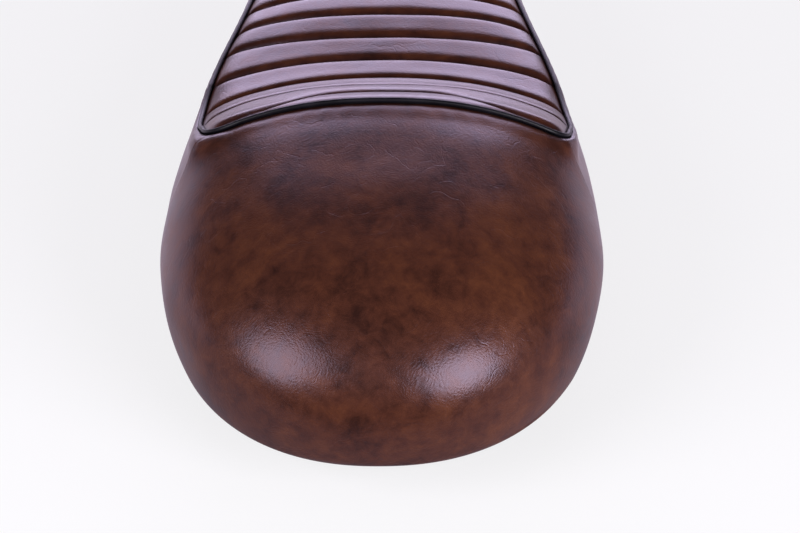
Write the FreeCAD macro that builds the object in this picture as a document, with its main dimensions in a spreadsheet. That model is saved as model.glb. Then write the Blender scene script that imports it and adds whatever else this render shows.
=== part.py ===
import FreeCAD, Part
import math
import os
from collections import namedtuple
from FreeCAD import Vector

# A cafe racer seat with a rear hump: a moulded pan, foam, a ribbed top panel, four cover panels
# and a piping bead, held to the bike by four studs. Millimetres, +Z up, +Y towards the tank.
# The origin is the centre of the four studs, in the plane where the bike's tabs meet the nuts that
# lock the studs to the pan. The shapes below are worked out from the pan's underside, the cover's
# from the crest line too, where y is 0, and each object's placement moves it to the origin.

DIMENSIONS = (
    ("hump_width", 250, "widest line of the hump, side to side"),
    ("hump_length", 194, "crest line to the rearmost point"),
    ("crest_height", 110.5, "pan underside to the piping at the crest"),
    ("crest_width", 208, "piping corner to piping corner at the crest"),
    ("crest_draw_length", 35, "length over which the pad widens from the crest"),
    ("crest_crown", 24, "fall from the middle of the crest to its corners"),
    ("crest_bow", 1.5, "how far the crest's corners lie behind its middle"),
    ("bulge_height", 34, "height of the widest line"),
    ("bulge_setback", 28, "crest line to the widest point of the hump"),
    ("rim_tuck", 5, "how far the cover draws in below the widest line"),
    ("pad_width", 224, "piping to piping where the pad is widest"),
    ("pad_height", 76, "height of the level part of the seat"),
    ("pad_crown", 14, "fall from the middle of the seat to its edges"),
    ("scoop_length", 107, "crest line to the start of the level part"),
    ("scoop_slope", 0.367, "fall over run of the scoop at the crest"),
    ("scoop_crest_reach", 37, "length over which the crest slope holds"),
    ("scoop_foot_reach", 59, "length over which the scoop runs out"),
    ("pad_front_width", 165, "piping to piping at the front"),
    ("pad_taper_length", 208, "crest line to the middle of the pad's taper"),
    ("body_front_width", 184, "widest line at the front"),
    ("body_taper_length", 215, "length of the body's taper"),
    ("front_reach", 396, "crest line to the piping at the nose"),
    ("nose_depth", 70, "length of the rounded end of the widest line"),
    ("nose_bulge", 10, "how far the nose stands out past its piping"),
    ("nose_drop", 10, "fall of the seat towards the nose"),
    ("level_end", 280, "crest line to the end of the level part"),
    ("roll_pitch", 29, "seam to seam of the ribbed panel"),
    ("roll_height", 9, "height of a roll over its seams"),
    ("roll_count", 11, "rolls between the crest and the plain nose"),
    ("nose_padding", 5, "swell of the plain nose section"),
    ("panel_thickness", 5, "ribbed panel at its seams"),
    ("leather_thickness", 1.5, "cover material"),
    ("cover_gap", 0.3, "room between the cover and what it lies on"),
    ("seam_gap", 0.8, "room between two cover panels at their seam"),
    ("panel_gap", 0.8, "room between the ribbed panel and the foam"),
    ("piping_diameter", 3.6, "piping bead"),
    ("piping_gap", 0.5, "room between the bead and the panel edges"),
    ("piping_stand", 1.5, "bead centre above the cover beside it"),
    ("piping_corner", 9, "cut-back of the bead at the crest corners"),
    ("nose_corner", 12, "cut-back of the bead at the nose corners"),
    ("edge_radius", 6, "cover turned round the pan's edge"),
    ("hem_width", 22, "cover turned under the pan"),
    ("pan_floor", 4, "pan floor thickness"),
    ("pan_lip", 14, "height of the pan's lip"),
    ("lip_wall", 3.5, "thickness of the pan's lip"),
    ("crest_to_mount", 90, "crest line to the middle of the studs"),
    ("foam_joint", 60, "crest line to the butt joint of the two foams"),
    ("stud_spacing_across", 100, "stud to stud, side to side"),
    ("stud_spacing_along", 260, "stud to stud, front to rear"),
    ("stud_diameter", 8, "stud where the nut, the pan and the strap hold it"),
    ("stud_thread_diameter", 7.9, "free end of the stud"),
    ("stud_length", 24, "free end of the stud, below the nut"),
    ("stud_head_diameter", 18, "flat round head"),
    ("stud_head_height", 2.5, "flat round head"),
    ("stud_clearance", 0.4, "stud hole larger than the stud"),
    ("strap_length", 140, "mounting strap"),
    ("strap_width", 30, "mounting strap"),
    ("strap_thickness", 2.5, "mounting strap"),
    ("washer_diameter", 20, "stud washer"),
    ("washer_thickness", 1.6, "stud washer"),
    ("nut_across_flats", 13, "stud nut"),
    ("nut_height", 6.5, "stud nut"),
    ("buffer_diameter", 26, "rubber foot at the pan"),
    ("buffer_tip_diameter", 21, "rubber foot at its end"),
    ("buffer_height", 11, "rubber foot"),
    ("buffer_neck", 8, "push-fit neck"),
    ("buffer_barb", 12, "push-fit barb"),
    ("buffer_barb_height", 4, "push-fit barb"),
    ("buffer_across", 80, "foot to foot, side to side"),
    ("buffer_along", 210, "middle feet to the end feet"),
    ("vent_diameter", 12, "vent holes of the pan"),
    ("vent_across", 56, "vent to vent, side to side"),
    ("vent_along", 350, "vent to vent, front to rear"),
    ("flute_width", 10, "stiffening flute"),
    ("flute_depth", 1.6, "stiffening flute"),
    ("flute_length", 190, "stiffening flute"),
    ("flute_spacing", 26, "flute to flute"),
    ("rivet_pitch", 50, "rivet to rivet along the hem"),
    ("rivet_diameter", 3.2, "rivet shank"),
    ("rivet_head_diameter", 8, "rivet head"),
    ("rivet_head_height", 1.4, "rivet head"),
    ("rivet_tail_diameter", 5, "set end of the rivet"),
    ("rivet_tail_height", 2, "set end of the rivet"),
    ("rivet_clearance", 0.2, "rivet hole larger than the rivet"),
    ("pocket_clearance", 0.6, "room round what stands into the foam"),
)

doc = FreeCAD.newDocument("cafe_racer_seat")
sheet = doc.addObject("Spreadsheet::Sheet", "dims")
for row, (alias, value, meaning) in enumerate(DIMENSIONS, 1):
    sheet.set("A%d" % row, meaning)
    sheet.set("B%d" % row, str(value))
    sheet.setAlias("B%d" % row, alias)
doc.recompute()

Dims = namedtuple("Dims", [alias for alias, value, meaning in DIMENSIONS])
d = Dims(*[float(sheet.get(alias)) for alias in Dims._fields])

# Form of the curves, without a length: how full a curve is, not how long.
HUMP_PLAN_POWER = 2.2       # fuller than an ellipse in plan
NOSE_PLAN_POWER = 1.75      # leaner than an ellipse in plan
PAD_TAPER_POWER = 2.9       # how suddenly the pad narrows
BODY_TAPER_POWER = 2.5
CROWN_POWER = 2.3           # over 2: flatter in the middle, steeper at the edges
ROLL_FULLNESS = 0.75        # under 1: a roll stands steeper at its seams
ROLL_END_POWER = 8          # how late a roll dives under the piping

# A side profile is one cubic curve from the piping down to the widest line. Reach is how far it
# first runs outwards, fall how far it drops meanwhile, rise how long it then runs straight down,
# each as a share of the profile's own width or height.
Profile = namedtuple("Profile", "reach fall rise")
HUMP_PROFILE = Profile(0.62, 0.03, 0.60)
CORNER_PROFILE = Profile(0.34, 0.35, 0.41)
SIDE_PROFILE = Profile(0.45, 0.35, 0.45)
NOSE_PROFILE = Profile(0.50, 0.25, 0.50)
CORNER_POWER = 2.2          # how late the hump's profile turns into the corner's

crest_half = d.crest_width / 2
hump_half = d.hump_width / 2
pad_half = d.pad_width / 2
pad_front_half = d.pad_front_width / 2
body_front_half = d.body_front_width / 2
piping_radius = d.piping_diameter / 2
seam_room = piping_radius + d.piping_gap        # bead centre to the panel edges
lining = d.leather_thickness + d.cover_gap      # cover's outside to what it lies on
nose_sag = d.nose_depth - d.nose_bulge          # the nose's corners behind its middle
nose_corner_y = d.front_reach - nose_sag


def mix(a, b, share):
    return a + (b - a) * share


def mix_profile(a, b, share):
    return Profile(*[mix(p, q, share) for p, q in zip(a, b)])


def pad_half_width(y):
    """Half the piping's width, drawn in at the crest and narrowing to the front."""
    past = max(y + d.crest_bow, 0)
    taper = math.exp(-(past / d.pad_taper_length) ** PAD_TAPER_POWER)
    drawn = (pad_half - crest_half) * math.exp(-(past / d.crest_draw_length) ** 2)
    return mix(pad_front_half, pad_half, taper) - drawn


def body_half_width(y):
    """Half the widest line's width, from the hump's widest point forwards."""
    taper = math.exp(-(max(y + d.bulge_setback, 0) / d.body_taper_length) ** BODY_TAPER_POWER)
    return mix(body_front_half, hump_half, taper)


def scoop_point(share):
    """Point (y, z) of the scoop's cubic curve, from the crest down to the level part."""
    a, b, c, e = (1 - share) ** 3, 3 * share * (1 - share) ** 2, 3 * share ** 2 * (1 - share), share ** 3
    knee = (d.scoop_crest_reach, d.crest_height - d.scoop_crest_reach * d.scoop_slope)
    foot = d.scoop_length - d.scoop_foot_reach
    return (b * knee[0] + c * foot + e * d.scoop_length,
            a * d.crest_height + b * knee[1] + (c + e) * d.pad_height)


def mid_height(y):
    """Height of the seat's middle line."""
    if y <= 0:
        return d.crest_height
    if y >= d.scoop_length:
        past = max(y - d.level_end, 0) / (d.front_reach - d.level_end)
        return d.pad_height - d.nose_drop * past ** 2
    low, high = 0.0, 1.0
    for step in range(40):
        middle = (low + high) / 2
        low, high = (middle, high) if scoop_point(middle)[0] < y else (low, middle)
    return scoop_point(low)[1]


def crown(y):
    return mix(d.crest_crown, d.pad_crown, min(max(y / d.scoop_length, 0), 1))


def seam_height(x, y):
    """Height of the seat's top between its rolls, with the bead's centre line at its border."""
    return mid_height(y) - crown(y) * abs(x / pad_half_width(y)) ** CROWN_POWER


# The bead's centre line, edge by edge. share runs from 0 to 1 and across from -1 to 1.
def crest_line(across):
    x, y = crest_half * across, -d.crest_bow * across ** 2
    return Vector(x, y, seam_height(x, y))


def side_line(share, side):
    y = mix(-d.crest_bow, nose_corner_y, share)
    x = side * pad_half_width(y)
    return Vector(x, y, seam_height(x, y))


def nose_line(across):
    y = d.front_reach - nose_sag * across ** 2
    x = pad_half_width(nose_corner_y) * across
    return Vector(x, y, seam_height(x, y))


# A station is one vertical section of the cover: where it starts beside the bead, its point on the
# widest line, the way that faces out there, and its profile.
Station = namedtuple("Station", "top bulge out profile")


def rounded(across, half, depth, plan_power):
    """Point and outward direction on a rounded end that is half wide and depth long."""
    power, angle = 2 / plan_power, across * math.pi / 2
    sine, cosine = math.sin(angle), max(math.cos(angle), 0)
    x = half * math.copysign(abs(sine) ** power, sine)
    y = depth * cosine ** power
    normal = Vector(math.copysign(abs(sine) ** (2 - power), sine) / half, cosine ** (2 - power) / depth, 0)
    return x, y, normal.normalize()


def hump_station(across):
    top = crest_line(across) + Vector(seam_room * across, -seam_room, -d.piping_stand)
    x, y, out = rounded(across, hump_half, d.hump_length - d.bulge_setback, HUMP_PLAN_POWER)
    bulge = Vector(x, -d.bulge_setback - y, d.bulge_height)
    profile = mix_profile(HUMP_PROFILE, CORNER_PROFILE, abs(across) ** CORNER_POWER)
    return Station(top, bulge, Vector(out.x, -out.y, 0), profile)


def nose_station(across):
    half = body_half_width(nose_corner_y)
    x, y, out = rounded(across, half, d.nose_depth, NOSE_PLAN_POWER)
    top = nose_line(x / half) + Vector(seam_room * x / half, seam_room, -d.piping_stand)
    bulge = Vector(x, nose_corner_y + y, d.bulge_height)
    profile = mix_profile(NOSE_PROFILE, SIDE_PROFILE, abs(across) ** CORNER_POWER)
    return Station(top, bulge, out, profile)


def side_station(share, side):
    top = side_line(share, side) + Vector(side * seam_room, mix(-seam_room, seam_room, share), -d.piping_stand)
    y = mix(-d.bulge_setback, nose_corner_y, share)
    bulge = Vector(side * body_half_width(y), y, d.bulge_height)
    profile = mix_profile(CORNER_PROFILE, SIDE_PROFILE, min(share * 3, 1))
    return Station(top, bulge, Vector(side, 0, 0), profile)


UPPER_SHARES = [i / 6 for i in range(7)]
TUCK_SHARES = [0, 0.35, 0.7, 1]
EDGE_STEPS = 3


def upper_rows(station, inset):
    """Section from the bead to the widest line, moved inwards by inset along its normal."""
    flat = Vector(station.bulge.x - station.top.x, station.bulge.y - station.top.y, 0)
    height = station.top.z - station.bulge.z
    ways = [(Vector(flat).normalize() + station.out).normalize(), station.out]
    reach, fall, rise = station.profile
    points = []
    for share in UPPER_SHARES:
        rest = 1 - share
        run = 3 * share * rest ** 2 * reach + 3 * share ** 2 * rest + share ** 3
        drop = 3 * share * rest ** 2 * fall + 3 * share ** 2 * rest * (1 - rise) + share ** 3
        run_rate = 3 * (rest ** 2 * reach + 2 * share * rest * (1 - reach))
        drop_rate = 3 * (rest ** 2 * fall + 2 * share * rest * (1 - rise - fall) + share ** 2 * rise)
        way = (ways[0] * rest + ways[1] * share).normalize()
        normal = (way * (drop_rate * height) + Vector(0, 0, run_rate * flat.Length)).normalize()
        points.append(station.top + flat * run - Vector(0, 0, drop * height) - normal * inset)
    return points


def lower_rows(station, inset):
    """Section from the widest line down and round the pan's edge."""
    rim_z = d.edge_radius - lining
    for step in range(6):
        lean = math.atan2(2 * d.rim_tuck, d.bulge_height - rim_z)
        rim_z = d.edge_radius * (1 - math.sin(lean)) - lining
    up, out = Vector(0, 0, 1), station.out
    points = []
    for share in TUCK_SHARES:
        angle = math.atan2(2 * d.rim_tuck * share, d.bulge_height - rim_z)
        point = Vector(station.bulge) - out * (d.rim_tuck * share ** 2)
        point.z = mix(d.bulge_height, rim_z, share)
        points.append(point - (out * math.cos(angle) - up * math.sin(angle)) * inset)
    centre = Vector(station.bulge) - out * (d.rim_tuck + d.edge_radius * math.cos(lean))
    centre.z = d.edge_radius - lining
    for step in range(1, EDGE_STEPS + 1):
        angle = mix(lean, math.pi / 2, step / EDGE_STEPS)
        points.append(centre + (out * math.cos(angle) - up * math.sin(angle)) * (d.edge_radius - inset))
    return points


def chords(points):
    """Running length along points."""
    lengths = [0.0]
    for a, b in zip(points, points[1:]):
        lengths.append(lengths[-1] + (b - a).Length)
    return lengths


def curve_through(points, params, closed=False):
    curve = Part.BSplineCurve()
    curve.interpolate(Points=points, Parameters=params, PeriodicFlag=closed)
    return curve


def net_surface(rows, row_params, column_params, closed=False):
    """Smooth surface through a net of points: curves along the rows, then across their poles."""
    along = [curve_through(points, column_params, closed) for points in rows]
    across = [curve_through([curve.getPoles()[i] for curve in along], row_params, closed)
              for i in range(along[0].NbPoles)]
    surface = Part.BSplineSurface()
    surface.buildFromPolesMultsKnots(
        [curve.getPoles() for curve in across],
        along[0].getMultiplicities(), across[0].getMultiplicities(),
        along[0].getKnots(), across[0].getKnots(), closed, closed,
        along[0].Degree, across[0].Degree)
    return surface


def borders(surface):
    """The four border edges: first row, last row, first column, last column."""
    u0, u1, v0, v1 = surface.bounds()
    return [curve.toShape() for curve in
            (surface.vIso(v0), surface.vIso(v1), surface.uIso(u0), surface.uIso(u1))]


def sewn_solid(faces):
    shell = Part.makeShell(faces)
    shell.sewShape()
    solid = Part.makeSolid(shell)
    if solid.Volume < 0:
        solid.reverse()
    return solid


ACROSS = [-1, -0.955, -0.88, -0.75, -0.6, -0.4, -0.2, 0, 0.2, 0.4, 0.6, 0.75, 0.88, 0.955, 1]
ALONG = [0, 0.012, 0.03, 0.07, 0.12, 0.18, 0.24, 0.31, 0.4, 0.52, 0.66, 0.8, 0.9, 0.955, 0.985, 1]
lower_params = chords(lower_rows(hump_station(0), 0))


def cover_skin(station_at, places):
    """Cover panel: the outside and the inside of the section at each place, closed at its borders."""
    stations = [station_at(place) for place in places]
    faces, hem_ends, hem_sides = [], [], []
    for section, params, ends in ((upper_rows, UPPER_SHARES, [0]), (lower_rows, lower_params, [])):
        skins = []
        for inset in (0, d.leather_thickness):
            columns = [section(station, inset) for station in stations]
            skins.append(net_surface([list(row) for row in zip(*columns)], params, places))
        outside, inside = borders(skins[0]), borders(skins[1])
        faces += [skins[0].toShape(), skins[1].toShape()]
        faces += [Part.makeRuledSurface(outside[i], inside[i]) for i in ends + [2, 3]]
    for inset, skin in zip((0, d.leather_thickness), skins):
        feet = [lower_rows(station, inset)[-1] for station in stations]
        ends = [foot - station.out * d.hem_width for foot, station in zip(feet, stations)]
        hem_ends.append(curve_through(ends, places).toShape())
        hem_sides.append([Part.LineSegment(feet[i], ends[i]).toShape() for i in (0, -1)])
        outline = [borders(skin)[1], hem_ends[-1]] + hem_sides[-1]
        faces.append(Part.Face(Part.Wire(Part.__sortEdges__(outline))))
    faces += [Part.makeRuledSurface(a, b) for a, b in zip(*hem_sides)]
    faces.append(Part.makeRuledSurface(*hem_ends))
    return sewn_solid(faces)


def edge_share(x, y):
    """0 at the border of the seat's top and 1 well inside it."""
    across = min(abs(x) / pad_half_width(min(y, nose_corner_y)), 1)
    behind = max(y + d.crest_bow * across ** 2, 0)
    ahead = max(d.front_reach - nose_sag * across ** 2 - y, 0)
    ease = 2 * d.panel_thickness
    return (1 - across ** ROLL_END_POWER) * (1 - math.exp(-behind / ease)) * (1 - math.exp(-ahead / ease))


def envelope_solid():
    """All that the cover encloses: pan, foam and the room between them."""
    faces, rims, tops = [], [], {}
    patches = (("rear", hump_station, ACROSS), ("front", nose_station, ACROSS),
               ("left", lambda share: side_station(share, -1), ALONG),
               ("right", lambda share: side_station(share, 1), ALONG))
    for name, station_at, places in patches:
        upper = [upper_rows(station_at(place), lining) for place in places]
        lower = [lower_rows(station_at(place), lining) for place in places]
        tops[name] = [column[0] for column in upper]
        faces.append(net_surface([list(row) for row in zip(*upper)], UPPER_SHARES, places).toShape())
        skirt = net_surface([list(row) for row in zip(*lower)], lower_params, places)
        faces.append(skirt.toShape())
        rims.append(borders(skirt)[1])
    rows = [tops["rear"]]
    for i, share in enumerate(ALONG[1:-1], 1):
        row = [tops["left"][i]]
        for across in ACROSS[1:-1]:
            spread = mix(across, rounded(across, 1, 1, NOSE_PLAN_POWER)[0], share)
            y = mix(-seam_room - d.crest_bow * spread ** 2,
                    d.front_reach + seam_room - nose_sag * spread ** 2, share)
            x = spread * (pad_half_width(mix(-d.crest_bow, nose_corner_y, share)) + seam_room)
            depth = mix(d.leather_thickness, d.panel_thickness, edge_share(x, y)) + d.panel_gap
            row.append(Vector(x, y, seam_height(x, y) - d.piping_stand - depth))
        rows.append(row + [tops["right"][i]])
    rows.append(tops["front"])
    faces.append(net_surface(rows, ALONG, ACROSS).toShape())
    faces.append(Part.Face(Part.Wire(Part.__sortEdges__(rims))))
    return sewn_solid(faces)


ROLL_PHASES = [0, 0.08, 0.25, 0.5, 0.75, 0.92, 1]
UNDER_PHASES = [0, 0.33, 0.67, 1]
NOSE_SHARES = [0, 0.1, 0.3, 0.55, 0.8, 0.94, 1]
PANEL_ACROSS = [-1, -0.98, -0.94, -0.87, -0.75, -0.6, -0.4, -0.2, 0,
                0.2, 0.4, 0.6, 0.75, 0.87, 0.94, 0.98, 1]


def corner_inset(distance, radius):
    """How far a rounded corner draws the panel's edge in, at a distance from the panel's end."""
    if distance >= radius:
        return 0
    return radius - math.sqrt(max(radius ** 2 - (radius - distance) ** 2, 0))


def middle_places():
    """Places y along the seat's middle line, with the length of the line up to each."""
    places = [i * d.front_reach / 800 for i in range(801)]
    return places, chords([Vector(0, y, mid_height(y)) for y in places])


def place_at(length, places, lengths):
    for i in range(1, len(places)):
        if lengths[i] >= length:
            share = (length - lengths[i - 1]) / (lengths[i] - lengths[i - 1])
            return mix(places[i - 1], places[i], share)
    return places[-1]


def panel_point(across, y, side_y, rise):
    """Point of the panel's top: the seat's surface raised by rise along the middle line's normal."""
    corner = max(d.piping_corner - seam_room, 0)
    inset = corner_inset(side_y + d.crest_bow - seam_room, corner)
    inset = max(inset, corner_inset(nose_corner_y - seam_room - side_y, d.nose_corner / 2))
    x = across * (pad_half_width(side_y) - seam_room - inset)
    slope = (mid_height(y + 1) - mid_height(y)) / 1.0
    lift = rise * (1 - abs(across) ** ROLL_END_POWER)
    tilt = math.hypot(1, slope)
    return Vector(x, y - slope / tilt * lift, seam_height(x, y) - d.piping_stand + lift / tilt)


def panel_under(across, y, side_y):
    point = panel_point(across, y, side_y, 0)
    depth = mix(d.leather_thickness, d.panel_thickness, edge_share(point.x, point.y))
    return point - Vector(0, 0, depth)


def ribbed_panel_solid():
    """Tuck-and-roll panel: one pair of faces for each roll, then the plain nose section."""
    places, lengths = middle_places()
    seams = [seam_room] + [i * d.roll_pitch for i in range(1, int(d.roll_count) + 1)]
    faces = []
    for number, (start, end) in enumerate(zip(seams, seams[1:])):
        top, under = [], []
        for phase in ROLL_PHASES:
            y = place_at(mix(start, end, phase), places, lengths)
            rise = d.roll_height * (1 - (2 * phase - 1) ** 2) ** ROLL_FULLNESS
            top.append([panel_point(across, y, y, rise) for across in PANEL_ACROSS])
        for phase in UNDER_PHASES:
            y = place_at(mix(start, end, phase), places, lengths)
            under.append([panel_under(across, y, y) for across in PANEL_ACROSS])
        faces += panel_band(top, ROLL_PHASES, under, UNDER_PHASES, number == 0, False)
    last = place_at(seams[-1], places, lengths)
    top, under = [], []
    for share in NOSE_SHARES:
        rise = d.nose_padding * (1 - (2 * share - 1) ** 2) ** ROLL_FULLNESS
        top.append([])
        under.append([])
        for across in PANEL_ACROSS:
            y = mix(last, d.front_reach - seam_room - nose_sag * across ** 2, share)
            side_y = mix(last, nose_corner_y - seam_room, share)
            top[-1].append(panel_point(across, y, side_y, rise))
            under[-1].append(panel_under(across, y, side_y))
    faces += panel_band(top, NOSE_SHARES, under, NOSE_SHARES, False, True)
    return sewn_solid(faces)


def panel_band(top, top_params, under, under_params, first, last):
    """Top, underside and open borders of one band of the panel."""
    skins = (net_surface(top, top_params, PANEL_ACROSS), net_surface(under, under_params, PANEL_ACROSS))
    above, below = borders(skins[0]), borders(skins[1])
    closing = [2, 3] + ([0] if first else []) + ([1] if last else [])
    return [skin.toShape() for skin in skins] + [Part.makeRuledSurface(above[i], below[i]) for i in closing]


def corner_cut(before, corner, after):
    """Points of the bead's bend between two points and their corner."""
    return [before * (1 - share) ** 2 + corner * (2 * share * (1 - share)) + after * share ** 2
            for share in (0.25, 0.5, 0.75)]


def piping_solid():
    """Piping bead: a closed tube along the crest, the sides and the nose."""
    side_length = nose_corner_y + d.crest_bow
    crest_cut = d.piping_corner / crest_half
    nose_cut = d.nose_corner / pad_half_width(nose_corner_y)
    start, stop = d.piping_corner / side_length, 1 - d.nose_corner / side_length
    crest = [crest_line(mix(-1 + crest_cut, 1 - crest_cut, i / 14)) for i in range(15)]
    nose = [nose_line(mix(1 - nose_cut, -1 + nose_cut, i / 8)) for i in range(9)]
    right = [side_line(mix(start, stop, i / 18), 1) for i in range(19)]
    left = [side_line(mix(stop, start, i / 18), -1) for i in range(19)]
    path = crest + corner_cut(crest[-1], side_line(0, 1), right[0]) + right
    path += corner_cut(right[-1], nose_line(1), nose[0]) + nose
    path += corner_cut(nose[-1], nose_line(-1), left[0]) + left
    path += corner_cut(left[-1], side_line(0, -1), crest[0])
    ring_places = [i * math.pi / 4 for i in range(8)]
    rings = []
    for i, point in enumerate(path):
        ahead = (path[(i + 1) % len(path)] - path[i - 1]).normalize()
        aside = ahead.cross(Vector(0, 0, 1)).normalize()
        up = aside.cross(ahead)
        rings.append([point + (aside * math.cos(a) + up * math.sin(a)) * piping_radius for a in ring_places])
    surface = net_surface(rings, chords(path + path[:1]), ring_places + [2 * math.pi], True)
    return Part.makeSolid(Part.makeShell([surface.toShape()]))


def under_line(station_at, inward, count=60):
    """Line under one cover panel, inward of the pan's rim, as points in order."""
    stations = [station_at(i / count) for i in range(count + 1)]
    points = [station.bulge - station.out * (d.rim_tuck + inward) for station in stations]
    return [Vector(point.x, point.y, 0) for point in points]


def spread_along(line, pitch):
    """Evenly spaced points along a line, about pitch apart and half of that from its ends."""
    lengths = chords(line)
    count = max(round(lengths[-1] / pitch), 1)
    spots = []
    for i in range(count):
        length = (i + 0.5) / count * lengths[-1]
        k = next(j for j in range(1, len(line)) if lengths[j] >= length)
        share = (length - lengths[k - 1]) / (lengths[k] - lengths[k - 1])
        spots.append(line[k - 1] * (1 - share) + line[k] * share)
    return spots


# The four panels of the cover in order round the seat, each from 0 to 1.
PANELS = (lambda share: hump_station(mix(-1, 1, share)), lambda share: side_station(share, 1),
          lambda share: nose_station(mix(1, -1, share)), lambda share: side_station(1 - share, -1))


# The objects of the document. Sizes come from the sheet through expressions.
def bind(obj, **expressions):
    for name, expression in expressions.items():
        obj.setExpression(name.replace("__", "."), expression)
    return obj


def place(obj, x="0", y="0", z="0"):
    """Placement from a place given from the pan's underside."""
    return bind(obj, Placement__Base__x=x, Placement__Base__y=y,
                Placement__Base__z=z + " + dims.washer_thickness + dims.nut_height")


def add(kind, name, **expressions):
    return bind(doc.addObject(kind, name), **expressions)


def combined(name, shapes):
    fused = doc.addObject("Part::MultiFuse", name)
    fused.Shapes = shapes
    return fused


def cut(name, base, tool):
    result = doc.addObject("Part::Cut", name)
    result.Base, result.Tool = base, tool
    return result


def formed(name, shape):
    """A soft or moulded piece worked out from the crest line and moved to the origin."""
    obj = doc.addObject("Part::Feature", name)
    obj.Shape = shape
    return place(obj, y="-dims.crest_to_mount")


SIGNS = (("-", "-"), ("", "-"), ("-", ""), ("", ""))
STUD_PLACES = [("%sdims.stud_spacing_across / 2" % sx, "%sdims.stud_spacing_along / 2" % sy) for sx, sy in SIGNS]
BUFFER_PLACES = [("%sdims.buffer_across / 2" % sx, y) for sx in ("-", "")
                 for y in ("-dims.buffer_along", "0", "dims.buffer_along")]
VENT_PLACES = [("%sdims.vent_across / 2" % sx, "%sdims.vent_along / 2" % sy) for sx, sy in SIGNS]


def cylinders(name, places, radius, z, height):
    """The same upright cylinder at each place."""
    made = []
    for i, (x, y) in enumerate(places, 1):
        made.append(place(add("Part::Cylinder", "%s_%d" % (name, i), Radius=radius, Height=height), x, y, z))
    return made


# Mounting studs, straps, washers and nuts.
NUT_FACE = "-dims.washer_thickness - dims.nut_height"
studs = cylinders("stud_thread", STUD_PLACES, "dims.stud_thread_diameter / 2",
                  NUT_FACE + " - dims.stud_length", "dims.stud_length")
studs += cylinders("stud_shank", STUD_PLACES, "dims.stud_diameter / 2", NUT_FACE,
                   "dims.washer_thickness + dims.nut_height + dims.pan_floor + dims.strap_thickness")
studs += cylinders("stud_head", STUD_PLACES, "dims.stud_head_diameter / 2",
                   "dims.pan_floor + dims.strap_thickness", "dims.stud_head_height")
mount_studs = combined("mount_studs", studs)

STUD_HOLE = "(dims.stud_diameter + dims.stud_clearance) / 2"
washer_discs = combined("washer_discs", cylinders(
    "washer_disc", STUD_PLACES, "dims.washer_diameter / 2", "-dims.washer_thickness", "dims.washer_thickness"))
nut_blanks = []
for number, (x, y) in enumerate(STUD_PLACES, 1):
    blank = add("Part::Prism", "nut_blank_%d" % number,
                Circumradius="dims.nut_across_flats / sqrt(3)", Height="dims.nut_height")
    blank.Polygon = 6
    nut_blanks.append(place(blank, x, y, NUT_FACE))
washer_bores = combined("washer_bores", cylinders(
    "washer_bore", STUD_PLACES, STUD_HOLE, "-dims.washer_thickness - 1", "dims.washer_thickness + 2"))
nut_bores = combined("nut_bores", cylinders(
    "nut_bore", STUD_PLACES, "dims.stud_diameter / 2", NUT_FACE + " - 1", "dims.nut_height + 2"))
stud_washers = cut("stud_washers", washer_discs, washer_bores)
stud_nuts = cut("stud_nuts", combined("nut_blanks", nut_blanks), nut_bores)


def sketch_on_floor(body, name):
    sketch = body.newObject("Sketcher::SketchObject", name)
    plane = [f for f in body.Origin.OriginFeatures if f.Role == "XY_Plane"][0]
    sketch.AttachmentSupport, sketch.MapMode = [(plane, "")], "FlatFace"
    return sketch


def named(sketch, constraint, name, expression):
    import Sketcher
    index = sketch.addConstraint(Sketcher.Constraint(*constraint))
    sketch.renameConstraint(index, name)
    sketch.setExpression("Constraints." + name, expression)


def mount_strap(name, y):
    """Strip with round ends and two stud holes, lying across the pan floor."""
    import Sketcher
    body = doc.addObject("PartDesign::Body", name)
    sketch = sketch_on_floor(body, name + "_outline")
    half, end = d.strap_width / 2, d.strap_length / 2 - d.strap_width / 2
    spot = d.stud_spacing_across / 2
    quarter = math.pi / 2
    sketch.addGeometry([
        Part.LineSegment(Vector(-end, -half, 0), Vector(end, -half, 0)),
        Part.ArcOfCircle(Part.Circle(Vector(end, 0, 0), Vector(0, 0, 1), half), -quarter, quarter),
        Part.LineSegment(Vector(end, half, 0), Vector(-end, half, 0)),
        Part.ArcOfCircle(Part.Circle(Vector(-end, 0, 0), Vector(0, 0, 1), half), quarter, 3 * quarter),
        Part.Circle(Vector(-spot, 0, 0), Vector(0, 0, 1), d.stud_diameter / 2),
        Part.Circle(Vector(spot, 0, 0), Vector(0, 0, 1), d.stud_diameter / 2)], False)
    for constraint in (("Tangent", 0, 2, 1, 1), ("Tangent", 1, 2, 2, 1), ("Tangent", 2, 2, 3, 1),
                       ("Tangent", 3, 2, 0, 1), ("Horizontal", 0), ("Equal", 4, 5),
                       ("PointOnObject", 1, 3, -1), ("Symmetric", 1, 3, 3, 3, -1, 1),
                       ("PointOnObject", 5, 3, -1), ("Symmetric", 4, 3, 5, 3, -1, 1)):
        sketch.addConstraint(Sketcher.Constraint(*constraint))
    named(sketch, ("Radius", 1, half), "end_radius", "dims.strap_width / 2")
    named(sketch, ("DistanceX", 3, 3, 1, 3, 2 * end), "centres", "dims.strap_length - dims.strap_width")
    named(sketch, ("Radius", 4, d.stud_diameter / 2), "hole", STUD_HOLE)
    named(sketch, ("DistanceX", 4, 3, 5, 3, 2 * spot), "holes_apart", "dims.stud_spacing_across")
    pad = body.newObject("PartDesign::Pad", name + "_plate")
    pad.Profile = sketch
    bind(pad, Length="dims.strap_thickness")
    return place(body, "0", y, "dims.pan_floor")


rear_mount_strap = mount_strap("rear_mount_strap", "-dims.stud_spacing_along / 2")
front_mount_strap = mount_strap("front_mount_strap", "dims.stud_spacing_along / 2")

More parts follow.
